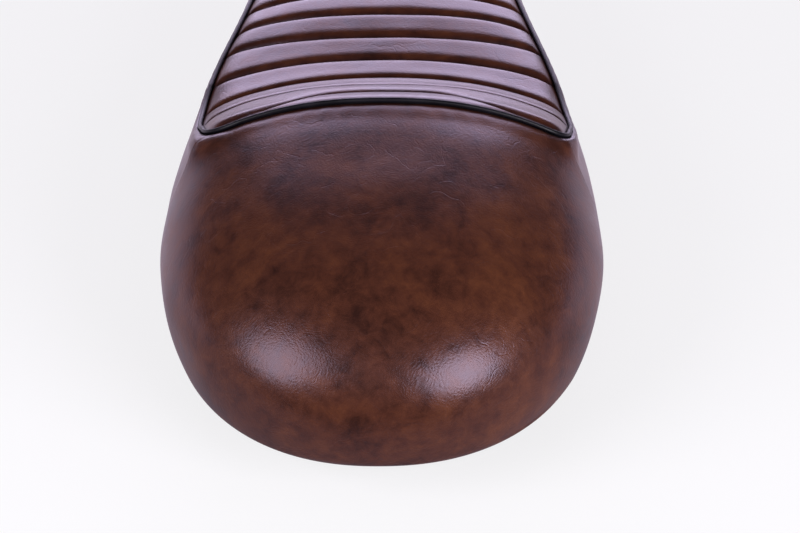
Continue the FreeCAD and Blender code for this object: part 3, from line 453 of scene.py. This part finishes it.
def sewn(x, y, z):
    """Points of the sewn top, which was pulled over the foam to the right at the crest: moved by
    3 exp(-(y / 65)^2), and down by the same times the crown's slope, 2.3 crown x^1.3 / half^2.3."""
    aside = bells(np.maximum(y, 0), [(0.0, SEWN_FADE, SEWN_ASIDE)])
    share = np.clip(x / pad_half_width(y), -1, 1)
    slope = CROWN_POWER * crown(y) / pad_half_width(y) * np.sign(share) * np.abs(share) ** (CROWN_POWER - 1)
    return xyz(x + aside, y, z - slope * aside)


def on_top(x, y):
    return xyz(x, y, seam_height(x, y))


def crest_line(across):
    return on_top(CREST_HALF * across, -CREST_BOW * across ** 2)


def side_line(along, side):
    y = mix(-CREST_BOW, NOSE_CORNER_Y, along)
    return on_top(side * pad_half_width(y), y)


def nose_line(across):
    return on_top(pad_half_width(NOSE_CORNER_Y) * across, FRONT_REACH - NOSE_SAG * across ** 2)


def bend(before, corner, after, count):
    """Points strictly inside a quadratic curve from before to after, drawn towards the corner."""
    t = np.linspace(0, 1, count + 2)[1:-1, None]
    return before * (1 - t) ** 2 + corner * (2 * t * (1 - t)) + after * t ** 2


def piping_path():
    """Closed centre line of the bead, counter-clockwise from the crest's left end."""
    nose_cut, side_length = NOSE_CUT / pad_half_width(NOSE_CORNER_Y), NOSE_CORNER_Y + CREST_BOW
    crest = crest_line(np.linspace(-1 + LEFT_CUT / CREST_HALF, 1 - RIGHT_CUT / CREST_HALF, 161))
    nose = nose_line(np.linspace(1 - nose_cut, -1 + nose_cut, 161))
    rightward = side_line(np.linspace(RIGHT_CUT / side_length, 1 - NOSE_CUT / side_length, 261), 1)
    leftward = side_line(np.linspace(1 - NOSE_CUT / side_length, LEFT_CUT / side_length, 261), -1)
    corners = [side_line(np.array([s]), k)[0] for s, k in ((0.0, 1), (1.0, 1), (1.0, -1), (0.0, -1))]
    path = []
    for line, corner, following in zip((crest, rightward, nose, leftward), corners,
                                       (rightward, nose, leftward, crest)):
        path += [line, bend(line[-1], corner, following[0], 41)]
    return sewn(*np.concatenate(path).T)


def path_frames(path):
    """Direction of travel, sideways (outwards) and up of a closed path."""
    ahead = unit(np.roll(path, -1, 0) - np.roll(path, 1, 0))
    aside = unit(np.cross(ahead, (0, 0, 1)))
    return ahead, aside, np.cross(aside, ahead)


bead_path = piping_path()
ahead, aside, above = path_frames(bead_path)
print("bead path", round(float(travelled(bead_path, 0)[-1])), "mm long")

# %% [markdown]
# ## Sections of the cover
# A cover panel is a row of vertical sections. Each starts beside the bead, swings out to the widest
# line, draws in a little, turns round the pan's edge and ends in a hem under the pan. So a panel is a
# grid: one direction runs round the seat, the other down the section.

# %% Stations and sections
HUMP_PROFILE, CORNER_PROFILE = np.array([0.62, 0.03, 0.60]), np.array([0.34, 0.35, 0.41])
SIDE_PROFILE, NOSE_PROFILE = np.array([0.45, 0.35, 0.45]), np.array([0.50, 0.25, 0.50])
HUMP_SHOULDER, SIDE_SHOULDER = np.array([19.0, 0.24]), np.array([9.0, 0.0])  # width, slope at the bead
TUCK_ASIDE, TUCK_BELOW, SHOULDER_PULL = 0.9, 1.6, 0.38  # spot under the bead, and the shoulder's knots


def rounded(across, half, depth, power):
    """Superellipse in plan: x = half sin^(2/n), y = depth cos^(2/n), and its outward direction."""
    sine, cosine = np.sin(across * math.pi / 2), np.maximum(np.cos(across * math.pi / 2), 0)
    side, sine = np.sign(sine), np.abs(sine)
    x, y = half * side * sine ** (2 / power), depth * cosine ** (2 / power)
    return x, y, unit(xyz(side * sine ** (2 - 2 / power) / half, cosine ** (2 - 2 / power) / depth, 0))


def hump_stations(across):
    x, y, out = rounded(across, HUMP_HALF, HUMP_LENGTH - BULGE_SETBACK, 2.2)
    top = crest_line(across) + xyz(SEAM_ROOM * across, -SEAM_ROOM, -PIPING_STAND)
    bulge = xyz(x, -BULGE_SETBACK - y, BULGE_HEIGHT)
    profile = mix(HUMP_PROFILE, CORNER_PROFILE, np.abs(across)[:, None] ** 2.2)
    return top, bulge, out * (1, -1, 1), profile, np.tile(HUMP_SHOULDER, (len(x), 1))


def side_stations(along, side):
    y = mix(-BULGE_SETBACK, NOSE_CORNER_Y, along)
    shift = xyz(side * SEAM_ROOM, mix(-SEAM_ROOM, SEAM_ROOM, along), -PIPING_STAND)
    bulge, out = xyz(side * body_half_width(y), y, BULGE_HEIGHT), xyz(side + 0 * y, 0, 0)
    profile = mix(CORNER_PROFILE, SIDE_PROFILE, np.minimum(along * 3, 1)[:, None])
    shoulder = mix(HUMP_SHOULDER, SIDE_SHOULDER, smooth_step(along * 5)[:, None])
    return side_line(along, side) + shift, bulge, out, profile, shoulder


def nose_stations(across):
    half = body_half_width(NOSE_CORNER_Y)
    x, y, out = rounded(across, half, NOSE_DEPTH, 1.75)
    top = nose_line(x / half) + xyz(SEAM_ROOM * x / half, SEAM_ROOM, -PIPING_STAND)
    bulge = xyz(x, NOSE_CORNER_Y + y, BULGE_HEIGHT)
    profile = mix(NOSE_PROFILE, SIDE_PROFILE, np.abs(across)[:, None] ** 2.2)
    return top, bulge, out, profile, np.tile(SIDE_SHOULDER, (len(x), 1))


coarse_path = np.hstack([bead_path, aside])
coarse_path = np.vstack([coarse_path, coarse_path[:1]])
fine_path = between(np.arange(8 * len(bead_path)) / 8, np.arange(len(coarse_path)), coarse_path)


def under_the_bead(tops):
    """For each section's first point, the spot to which the cover is tucked, beside and below the nearest
    place of the bead's path, and the way outwards there."""
    gaps = tops[:, None, :2] - fine_path[None, :, :2]
    nearest = fine_path[np.argmin((gaps ** 2).sum(-1), 1)]
    out = unit(nearest[:, 3:] * (1, 1, 0))
    return nearest[:, :3] + out * TUCK_ASIDE - (0, 0, TUCK_BELOW), out


def at_length(grid, lengths, wanted):
    """Point of each section at its wanted running length, on the straight line between two rows."""
    rows, after = np.arange(len(grid)), np.argmax(lengths > wanted[:, None], 1)
    start, end = lengths[rows, after - 1], lengths[rows, after]
    return mix(grid[rows, after - 1], grid[rows, after], ((wanted - start) / (end - start))[:, None])


def with_shoulder(grid, out, shoulder):
    """Section grid whose first millimetres swell out of the seam: a cubic from the tucked spot, leaving
    it outwards at a slope, to the point of the section where the shoulder ends, along the section there."""
    wide, steep = shoulder.T
    lengths = travelled(grid, 1)
    end = at_length(grid, lengths, wide)
    end_way = unit(at_length(grid, lengths, wide + 1) - at_length(grid, lengths, wide - 1))
    start_way = out * np.cos(steep)[:, None] + np.sin(steep)[:, None] * (0, 0, 1)
    reach = SHOULDER_PULL * wide[:, None]
    knots = [k[:, None] for k in (grid[:, 0], grid[:, 0] + reach * start_way, end - reach * end_way, end)]
    u = np.clip(lengths / wide[:, None], 0, 1)[..., None]
    return np.where(u < 1, cubic(*knots, u), grid)


UPPER = np.concatenate([np.linspace(0, 0.06, 9)[:-1], np.linspace(0.06, 1, 57)])
TUCK, TURN, HEM = np.linspace(0, 1, 14)[1:], np.linspace(0, 1, 10)[1:], np.linspace(0, 1, 14)[1:]


def sections(stations):
    """Grid of points (place, row): a tuck under the bead, a run and a drop to the widest line, each a cubic
    from 0 to 1, a draw-in with the square of the fall, a quarter turn of the edge radius, and a level hem."""
    top, bulge, out, profile = [s[:, None, :] for s in stations[:4]]
    reach, fall, rise = profile[..., 0:1], profile[..., 1:2], profile[..., 2:3]
    lift = np.array([0, 0, 1.0])
    flat, height = (bulge - top) * (1, 1, 0), (top - bulge)[..., 2:3]
    t = UPPER[None, :, None]
    upper = top + flat * cubic(0, reach, 1, 1, t) - lift * cubic(0, fall, 1 - rise, 1, t) * height
    tucked, from_bead = under_the_bead(stations[0])
    under_bead = mix(tucked[:, None], top, np.array([0, 0.5])[None, :, None])
    rim_z = EDGE_RADIUS - LINING
    for _ in range(6):
        lean = math.atan2(2 * RIM_TUCK, BULGE_HEIGHT - rim_z)
        rim_z = EDGE_RADIUS * (1 - math.sin(lean)) - LINING
    s = TUCK[None, :, None]
    lower = bulge - out * (RIM_TUCK * s ** 2) - lift * s * (BULGE_HEIGHT - rim_z)
    centre = bulge - out * (RIM_TUCK + EDGE_RADIUS * math.cos(lean))
    centre = centre + lift * (EDGE_RADIUS - LINING - BULGE_HEIGHT)
    angle = mix(lean, math.pi / 2, TURN)[None, :, None]
    turn = centre + EDGE_RADIUS * (out * np.cos(angle) - lift * np.sin(angle))
    hem = turn[:, -1:] - out * (HEM_WIDTH * HEM[None, :, None])
    return with_shoulder(np.concatenate([under_bead, upper, lower, turn, hem], 1), from_bead, stations[4])


ROWS_UNDER_BEAD = 2
print("each section has", ROWS_UNDER_BEAD + len(UPPER) + len(TUCK) + len(TURN) + len(HEM), "points")

# %% [markdown]
# ## From grid to mesh
# A skin needs thickness, so that it is a closed piece and not a sheet of paper. The outside is the grid
# itself. The inside lies one material thickness below it and is four times coarser, because nobody sees
# it. Strips of many-sided faces close the border between the two.

# %% Closed skins
LEATHER, INSIDE_STEP = 1.4, 4  # thickness of the cover, and how much coarser its inside is


def grid_normals(points):
    """Unit normals of a grid: the cross product of its two directions of travel."""
    return unit(np.cross(np.gradient(points, axis=1), np.gradient(points, axis=0)))


def grid_quads(numbers):
    corners = numbers[:-1, :-1], numbers[:-1, 1:], numbers[1:, 1:], numbers[1:, :-1]
    return np.stack(corners, -1).reshape(-1, 4)


def border_strip(fine, coarse, step):
    """Faces between a run of fine border points and the coarse run below it, step fine spans to one."""
    windows = np.lib.stride_tricks.sliding_window_view(fine, step + 1)[::step]
    return np.column_stack([windows[:, ::-1], coarse[:-1], coarse[1:]])


def numbered(grid):
    """Running number of each point of a grid."""
    return np.arange(grid.shape[0] * grid.shape[1]).reshape(grid.shape[:2])


def closed_skin(outside, inside, step):
    """Vertices and faces of a closed shell: fine outside grid, and an inside grid of every step-th point."""
    over = numbered(outside)
    under = over.size + numbered(inside)
    strips = [border_strip(over[:, 0], under[:, 0], step)[:, ::-1],
              border_strip(over[:, -1], under[:, -1], step),
              border_strip(over[0], under[0], step),
              border_strip(over[-1], under[-1], step)[:, ::-1]]
    faces = grid_quads(over).tolist() + grid_quads(under)[:, ::-1].tolist() + np.vstack(strips).tolist()
    return np.concatenate([outside.reshape(-1, 3), inside.reshape(-1, 3)]), faces


def make_piece(name, points, faces, material, slot, **attributes):
    """Mesh object at the origin from points in millimetres, riding on the seat's one body."""
    mesh = bpy.data.meshes.new(name)
    mesh.from_pydata(to_frame(points).tolist(), [], faces)
    for key, values in attributes.items():
        mesh.attributes.new(key, "FLOAT", "POINT").data.foreach_set("value", np.asarray(values, np.float32))
    mesh.polygons.foreach_set("use_smooth", np.ones(len(mesh.polygons), bool))
    mesh.materials.append(material)
    mesh.validate()
    mesh.update()
    piece = placed(name, mesh)
    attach(piece, "root")
    return piece


def leather_skin(name, outside, inside, seam):
    """Closed piece of leatherette, darker (toning and painted shade) where seam goes from 0 to 1."""
    points, faces = closed_skin(outside, inside[::INSIDE_STEP, ::INSIDE_STEP], INSIDE_STEP)
    seam = np.concatenate([seam.ravel(), np.ones(len(points) - seam.size)])
    print(name, outside.shape[:2], "grid,", len(faces), "faces")
    return make_piece(name, points, faces, leather, "brown_leatherette", seam=seam)


# %% [markdown]
# ## The hump, the sides and the nose
# Tight leatherette over moulded foam is smooth but never perfect. The foam swells and sinks by a
# fraction of a millimetre, the plain seams beside the nose pull the surface into a soft valley, and the
# cover gathers a little along the bead. The hump runs into the sides without a seam that shows. All of
# that is worked into the grids as distances along the normals, so a low light picks it out.

# %% Cover panels
STITCH_PITCH = 4.2
NO_SEAM = 1e3  # stands for a seam too far away to show
UNEVEN, UNEVEN_FROM = 0.28, 18.0  # the foam's swells, full this far below the bead
VALLEY = ((0.0, 1.2, -0.3), (6.0, 4.0, 0.1))  # place, spread and lift of a seam's valley and bank
GATHER, GATHER_AT, GATHER_WAVES = 0.1, 6.0, (0.41, 0.083)  # height, place and waves per mm, in radians
SWELL_FROM, ROUND_LIMIT, ROUND_FADE = 12.0, 0.32, 13.0  # the rounding of a corner seam
random = np.random.default_rng(7)
WAVES = unit(random.normal(size=(14, 3))) * random.uniform(2 * math.pi / 95, 2 * math.pi / 38, (14, 1))
WAVE_STARTS = random.uniform(0, 2 * math.pi, 14)


def foam_unevenness(points):
    """Sum of fourteen plane waves, 38 to 95 mm long, as a soft random field between about -1 and 1."""
    return np.sin(points @ WAVES.T + WAVE_STARTS).sum(-1) / 5.0


def rounding(normals, other, distance):
    """Lift beside a corner seam that lets two panels meet without a ridge: tan(half the angle between
    their normals) times distance times exp(-distance / 13), for each row of the section."""
    half_angle = np.arccos(np.clip((normals * other).sum(-1), -1, 1)) / 2
    return np.tan(np.minimum(half_angle, ROUND_LIMIT)) * distance * np.exp(-distance / ROUND_FADE)


def cover_panel(name, grid, before, after, sewn_ends, nodes):
    """Section grid moved along its normals by foam unevenness, swells, seam valleys and gathers. The grids
    before and after it meet it at its two ends, and sewn_ends says at which of them a seam shows."""
    normals = grid_normals(grid)
    from_start, down = travelled(grid, 0), travelled(grid, 1)
    to_end = from_start[-1:] - from_start
    from_seam = np.minimum(*(np.where(has_seam, away, NO_SEAM)
                             for has_seam, away in zip(sewn_ends, (from_start, to_end))))
    under = np.arange(grid.shape[1]) >= grid.shape[1] - len(HEM) - len(TURN)
    in_sight = np.where(under, 0, 1)
    edge = travelled(grid[:, ROWS_UNDER_BEAD], 0)[:, None]
    gather = np.sin(edge * GATHER_WAVES[0] + 2 * np.sin(edge * GATHER_WAVES[1]))
    gather = gather * np.exp(-np.abs(down - GATHER_AT) / GATHER_AT) * np.clip(down / 3, 0, 1)
    ends = rounding(normals[0], grid_normals(before)[-1], from_start)
    ends = ends + rounding(normals[-1], grid_normals(after)[0], to_end)
    move = UNEVEN * foam_unevenness(grid) * np.clip(down / UNEVEN_FROM, 0, 1) * in_sight
    move = move + ends * smooth_step(down / SWELL_FROM) * in_sight + GATHER * gather
    move = move + bells(from_seam, VALLEY) * np.where(under, 0.25, 1)
    outside = grid + normals * move[..., None]
    inside = outside - LEATHER * grid_normals(outside)
    # Darker colour beside the seams and under the bead: part toning, part painted shade.
    seam = np.maximum(0.35 * np.exp(-(from_seam / 2.0) ** 2), np.exp(-(down / 3) ** 2))
    piece = leather_skin(name, outside, inside, seam)
    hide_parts(*nodes)


def fine_ends(count, end_count, end):
    """Places from 0 to 1 with end_count close steps inside each end."""
    start = np.linspace(0, end, end_count + 1)[:-1]
    return np.concatenate([start, np.linspace(end, 1 - end, count - 2 * end_count), 1 - start[::-1]])


hump_places = mix(-1, 1, fine_ends(265, 12, 0.008))
side_places = fine_ends(257, 8, 0.012)
nose_places = mix(1, -1, fine_ends(161, 12, 0.014))
hump, right_side = sections(hump_stations(hump_places)), sections(side_stations(side_places, 1))
nose, left_side = sections(nose_stations(nose_places)), sections(side_stations(side_places[::-1], -1))
cover_panel("hump_cover_leather", hump, left_side, right_side, (False, False), ["hump_cover"])
cover_panel("side_cover_right", right_side, hump, nose, (False, True), ["side_panel_right"])
cover_panel("nose_cover_leather", nose, right_side, left_side, (True, True), ["nose_panel"])
cover_panel("side_cover_left", left_side, nose, hump, (True, False), ["side_panel_left"])

# %% [markdown]
# ## The ribbed top
# A tuck-and-roll panel is two layers with wadding between them, sewn through in channels, so that the
# top layer stands up in rolls. The channels lie straight across the front of the seat and bow near
# the crest. We start from lower rolls than the real ones, pin the sewn lines, and let a cloth simulation
# blow the top layer up. The rear roll is cut off by the curved edge: it is full in the middle and runs
# out into the piping before the corners.

# %% Start net of the ribbed top
ROLLS, ROLL_PITCH, ROLL_HEIGHT, NOSE_RISE = 11, 29.66, 5.3, 5.0
ROLL_FLATNESS, ROLL_SHOULDER = 5.5, 0.85  # flat top and steep flanks of a roll
SIDE_ROOM, END_POWER = 1.5, 24  # the rolls end against the bead, pinched by its seam
REAR_ROLL_SHARE, REAR_HELD = 0.58, 16.0  # the crest seam holds the rear roll down, over this length
REAR_GAP, REAR_BEND = 3.0, (0.2, 0.65)  # the rear roll's least width, and the bend that leads to it
WADDING, WADDING_RUN_IN = 2.3, 16.0  # the wadding lifts the sewn channels, not at the crest
SETTLED = ((20, 13, -2.7), (48, 16, 1.5), (115, 30, -1.1), (178, 24, 1.1))  # place, spread and lift
SEAM_SHIFT = 2.5  # how far the seams from the second on lie back
SEAM_BOW = ((2, 3, 4, 5, 6, 11), (15, 13, 4, -6, -6, 0))  # seams, and how far their ends lie back as well
REAR_CORNER, NOSE_CORNER = 0.8, 6.0  # corner radius: share of the bead's cut, and mm at the nose
ROLL_CELLS, NOSE_CELLS, ACROSS_CELLS = 10, 14, 110  # cells of the simulated net
CLOSER = 0.86 * math.pi / 2  # columns stand closer together towards the sides
START_SHARE = 0.9  # height of a roll before it swells


def settled(y):
    """How far the sewn panel stands off the moulded foam: 2.3 (1 - exp(-(y / 16)^2)), for its wadding, and
    a bell for each place where it has settled."""
    return WADDING * (1 - np.exp(-(y / WADDING_RUN_IN) ** 2)) + bells(y, SETTLED)


middle_y = np.linspace(0, FRONT_REACH, 1601)
middle_length = travelled(np.stack([middle_y, mid_height(middle_y) + settled(middle_y)], -1), 0)


def seam_lengths(across):
    """Length along the middle line of each channel seam, for each place across. The seam in
    front of the rear roll bends back to the crest towards the corners."""
    seams = np.concatenate([[SEAM_ROOM], ROLL_PITCH * np.arange(1, ROLLS + 1)])[:, None] + 0 * across
    seams[2:] -= SEAM_SHIFT + np.interp(np.arange(2, ROLLS + 1), *SEAM_BOW)[:, None] * across ** 2
    bent = smooth_step((np.abs(across) - REAR_BEND[0]) / REAR_BEND[1])
    seams[1] = mix(seams[1], SEAM_ROOM + REAR_GAP, bent)
    return seams


def corner_inset(distance, radius):
    """How far a rounded corner draws an edge in: r - sqrt(r^2 - (r - distance)^2)."""
    near = np.clip(radius - distance, 0, radius)
    return radius - np.sqrt(radius ** 2 - near ** 2)


def panel_points(across, y, side_y, rise):
    """Seat surface at x = across * half width, raised along the normal of the middle line."""
    rear_radius = REAR_CORNER * np.where(across < 0, LEFT_CUT, RIGHT_CUT)
    inset = np.maximum(corner_inset(side_y + CREST_BOW - SEAM_ROOM, rear_radius),
                       corner_inset(NOSE_CORNER_Y - SEAM_ROOM - side_y, NOSE_CORNER))
    x = across * (pad_half_width(side_y) - SIDE_ROOM - inset)
    slope = mid_slope(y)
    tilt = np.hypot(1, slope)
    z = seam_height(x, y) - PIPING_STAND + settled(y) * (1 - across ** 4)
    return sewn(x, y, z) + xyz(0, -slope / tilt * rise, rise / tilt)


def arch(inward):
    """Height of a roll from 0 at its seam to 1 at its middle: (1 - (1 - inward)^5.5)^0.85."""
    return (1 - (1 - np.clip(inward, 0, 1)) ** ROLL_FLATNESS) ** ROLL_SHOULDER


across = np.sin(np.linspace(-1, 1, ACROSS_CELLS + 1) * CLOSER) / math.sin(CLOSER)
pinched = 1 - np.abs(across) ** END_POWER
seams = seam_lengths(across)
phase = np.linspace(0, 1, ROLL_CELLS + 1)[:-1]
lengths = mix(seams[:-1, None, :], seams[1:, None, :], phase[None, :, None])
inward = np.minimum(lengths - seams[:-1, None, :], seams[1:, None, :] - lengths) / (ROLL_PITCH / 2)
rise = ROLL_HEIGHT * arch(inward) * pinched
rise[0] *= mix(REAR_ROLL_SHARE, 1, np.clip((lengths[0] - SEAM_ROOM) / REAR_HELD, 0, 1))
rise = rise.reshape(-1, len(across))
y = np.interp(lengths, middle_length, middle_y).reshape(-1, len(across))
last_y = np.interp(seams[-1], middle_length, middle_y)
nose_share = np.linspace(0, 1, NOSE_CELLS + 1)[:, None]
nose_y = mix(last_y, FRONT_REACH - SEAM_ROOM - NOSE_SAG * across ** 2, nose_share)
nose_side_y = mix(last_y, NOSE_CORNER_Y - SEAM_ROOM, nose_share)
nose_rise = NOSE_RISE * arch(1 - np.abs(2 * nose_share - 1)) * pinched
y, side_y = np.vstack([y, nose_y]), np.vstack([y, nose_side_y])
rise = np.vstack([rise, nose_rise])
flat_net = panel_points(across, y, side_y, 0 * rise)
start_net = panel_points(across, y, side_y, START_SHARE * rise)
seam_rows = np.append(np.arange(ROLLS + 1) * ROLL_CELLS, len(y) - 1)
print("net of", start_net.shape[:2], "points, seams at rows", seam_rows.tolist())

# %% [markdown]
# ## Blowing up the rolls
# Cloth needs a mesh, a group of pinned points and a pressure. Twenty frames are enough for the rolls to
# settle. The result is read back as an array, held to a few millimetres from its start, and the helper
# object is removed, so that the finished piece has no simulation left on it.


# %% Cloth simulation
def swollen(net, pinned, pressure, frames, cap):
    """Net after a cloth simulation under pressure with its pinned points held, moved by cap mm at most."""
    mesh = bpy.data.meshes.new("swelling")
    mesh.from_pydata(to_frame(net).reshape(-1, 3).tolist(), [], grid_quads(numbered(net)).tolist())
    helper = placed("swelling", mesh)
    group = helper.vertex_groups.new(name="sewn")
    group.add(np.flatnonzero(pinned.ravel()).tolist(), 1.0, "REPLACE")
    cloth = helper.modifiers.new("swelling", "CLOTH")
    settings = cloth.settings
    settings.quality, settings.mass, settings.air_damping = 6, 0.2, 3.0
    settings.tension_stiffness = settings.compression_stiffness = 25.0
    settings.shear_stiffness, settings.bending_stiffness = 12.0, 1.0
    settings.use_pressure, settings.uniform_pressure_force = True, pressure
    settings.vertex_group_mass = "sewn"
    settings.effector_weights.gravity = 0.0
    cloth.collision_settings.use_collision = False
    cloth.point_cache.frame_start, cloth.point_cache.frame_end = 1, frames
    scene = bpy.context.scene
    for number in range(1, frames + 1):
        scene.frame_set(number)
    result = helper.evaluated_get(bpy.context.evaluated_depsgraph_get()).data
    flat = np.empty(net.size, np.float32)
    result.vertices.foreach_get("co", flat)
    scene.frame_set(1)
    bpy.data.objects.remove(helper)
    bpy.data.meshes.remove(mesh)
    moved = flat.reshape(net.shape) / MM - CREST_SHIFT - net
    far = np.linalg.norm(moved, axis=-1, keepdims=True)
    print("cloth moved", round(float(far.max()), 2), "mm at most,", round(float(far.mean()), 2), "on average")
    return net + moved * np.minimum(1, cap / np.maximum(far, 1e-9))


pinned = np.zeros(start_net.shape[:2], bool)
pinned[seam_rows] = True
pinned[:, [0, -1]] = True
puffed = swollen(start_net, pinned, pressure=4.0, frames=20, cap=3.0)

# %% [markdown]
# ## The finished ribbed top
# The simulated net is too coarse for a smooth shine, so its cells are halved both ways, with the seams
# kept sharp. Then each seam puckers between its stitches, the border is tucked under the bead, and a
# backing closes the panel from below.

# %% Finished ribbed top
PUCKER, PUCKER_AT, PUCKER_SPREAD = 0.05, 1.8, 1.6  # height, distance from the seam, and spread
TOP_UNEVEN, TOP_FINER = 0.16, 1.7  # swells lower and closer together than the hump's
TUCK_OUT, TUCK_DOWN, BACKING = 1.2, 1.1, 1.6  # border under the bead, and thickness of the backing
# The darker colour in the channels is part toning and part painted shade.
SEAM_SHADE = 3.5  # the toning is darker this far from a channel


def refined(net, breaks):
    """Twice as many cells along the first direction. A new point is (-a + 9b + 9c - d) / 16 of its four
    neighbours, and beside a break (3a + 6b - c) / 8, so that the breaks stay sharp."""
    middle = (net[:-1] + net[1:]) / 2
    middle[1:-1] = (9 * (net[1:-2] + net[2:-1]) - net[:-3] - net[3:]) / 16
    first, last = np.array(breaks[:-1]), np.array(breaks[1:]) - 1
    middle[first] = (3 * net[first] + 6 * net[first + 1] - net[first + 2]) / 8
    middle[last] = (3 * net[last + 1] + 6 * net[last] - net[last - 1]) / 8
    fine = np.empty((2 * len(net) - 1, *net.shape[1:]))
    fine[::2], fine[1::2] = net, middle
    return fine


def fine_net(net):
    across_first = refined(net.transpose(1, 0, 2), [0, net.shape[1] - 1]).transpose(1, 0, 2)
    return refined(across_first, seam_rows)


top_net, base_net = fine_net(puffed), fine_net(flat_net)
fine_seams = seam_rows * 2
run_down = travelled(base_net, 0)
to_seam = np.abs(run_down[:, None] - run_down[fine_seams][None]).min(1)
pucker = np.cos(2 * math.pi * travelled(base_net, 1) / STITCH_PITCH)
pucker = pucker * bells(to_seam, [(PUCKER_AT, PUCKER_SPREAD, PUCKER)])
uneven = TOP_UNEVEN * foam_unevenness(top_net * TOP_FINER)
top_net = top_net + grid_normals(top_net) * (pucker + uneven)[..., None]
tuck = np.zeros_like(top_net)
tuck[:, 0, 0], tuck[:, -1, 0], tuck[0, :, 1], tuck[-1, :, 1] = -TUCK_OUT, TUCK_OUT, -TUCK_OUT, TUCK_OUT
tuck[:, [0, -1], 2] = tuck[[0, -1], :, 2] = -TUCK_DOWN
top_net = top_net + tuck
# Darker colour in the channels: part toning, part painted shade.
seam = np.exp(-(to_seam / SEAM_SHADE) ** 2)
ribs = leather_skin("ribbed_top", top_net, base_net + tuck - (0, 0, BACKING), seam)
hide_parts("ribbed_panel")

# %% [markdown]
# ## The piping
# The bead is a round cord in a folded strip, whose tail is sewn into the seam between the ribbed top and
# the covers. So its profile is a circle with a tail, carried round a closed path: along the crest, round
# each corner in a short bend, down the sides and round the nose.

# %% Piping bead
BEAD_FROM, BEAD_TO, BEAD_SIDES = -62, 242, 20  # the round part of the profile, in degrees
BEAD_TAIL = ((-0.4, -1.9), (-0.35, -2.8), (0.35, -2.8), (0.4, -1.9))
angles = np.radians(np.linspace(BEAD_FROM, BEAD_TO, BEAD_SIDES))
profile = np.concatenate([PIPING_RADIUS * np.stack([np.cos(angles), np.sin(angles)], -1), BEAD_TAIL])
rings = bead_path[:, None] + aside[:, None] * profile[None, :, :1] + above[:, None] * profile[None, :, 1:]
quads = grid_quads(np.pad(numbered(rings), ((0, 1), (0, 1)), mode="wrap"))[:, ::-1]
bead = make_piece("piping_bead", rings.reshape(-1, 3), quads.tolist(), vinyl, "black_piping")
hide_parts("piping")
print("bead", rings.shape[:2], "grid")

# %% [markdown]
# ## Stitches
# A row of thread lies in the bottom of every channel. A stitch is a short capsule, and one small capsule
# is copied to every place in a single product of arrays.

# %% Stitches
STITCH_LENGTH, STITCH_RADIUS, STITCH_SIDES = 3.0, 0.4, 6
STITCH_SINK, ROW_ENDS = 0.1, slice(8, -8)  # depth in the seam, and the columns between a row's ends
CAPSULE_ALONG = np.array([-0.5, -0.42, -0.2, 0.2, 0.42, 0.5])
CAPSULE_GIRTH = np.array([0.35, 0.8, 1.0, 1.0, 0.8, 0.35])


def capsule():
    """Small closed capsule along its first axis: rings of a circle that narrow towards both ends."""
    turn = np.linspace(0, 2 * math.pi, STITCH_SIDES, endpoint=False)
    ring = xyz(0, np.cos(turn), np.sin(turn))
    points = ring * (CAPSULE_GIRTH * STITCH_RADIUS)[:, None, None]
    points[..., 0] = (CAPSULE_ALONG * STITCH_LENGTH)[:, None]
    numbers = numbered(points)
    quads = grid_quads(np.pad(numbers, ((0, 0), (0, 1)), mode="wrap"))
    return points.reshape(-1, 3), quads, [numbers[0], numbers[-1][::-1]]


def stitch_row(shape, line, lift):
    """Copies of a shape along a line of points, each turned to the line and to the way that faces up."""
    run = travelled(line, 0)
    places = np.arange(STITCH_PITCH / 2, run[-1] - STITCH_PITCH / 4, STITCH_PITCH)
    spots = between(places, run, line)
    travel = unit(between(places + 0.5, run, line) - spots)
    across = unit(np.cross(unit(between(places, run, lift)), travel))
    turn = np.stack([travel, across, np.cross(travel, across)], 1)
    return spots[:, None] + np.einsum("kc,ncd->nkd", shape, turn)


lifted = grid_normals(base_net)
sunk = top_net - STITCH_SINK * lifted
shape, quads, caps = capsule()
stitches = np.concatenate([stitch_row(shape, sunk[row, ROW_ENDS], lifted[row, ROW_ENDS])
                           for row in fine_seams[1:-1]])
shifts = np.arange(len(stitches)) * len(shape)
faces = (quads[None] + shifts[:, None, None]).reshape(-1, 4).tolist()
faces += np.concatenate([cap[None] + shifts[:, None] for cap in caps]).tolist()
make_piece("channel_stitches", stitches.reshape(-1, 3), faces, thread, "brown_leatherette")
print("channel_stitches", len(stitches), "stitches")

# %% [markdown]
# ## Finishes for the hard pieces
# Below the cover the seat is plain engineering. The shapes of these pieces are right already, so each
# node keeps its mesh and gets a better material on its own slots.

# %% Hard finishes
STEEL = ("front_mount_strap", "rear_mount_strap", "mount_studs", "stud_washers", "stud_nuts")
HARD_FINISHES = {"base_pan": plastic, "rubber_buffers": rubber, **dict.fromkeys(STEEL, zinc),
                 "cover_rivets": aluminium, "hump_foam": foam, "seat_foam": foam}
for name, material in HARD_FINISHES.items():
    for mesh_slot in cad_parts[name].material_slots:
        mesh_slot.material = material
print("finished", len(HARD_FINISHES), "construction nodes")
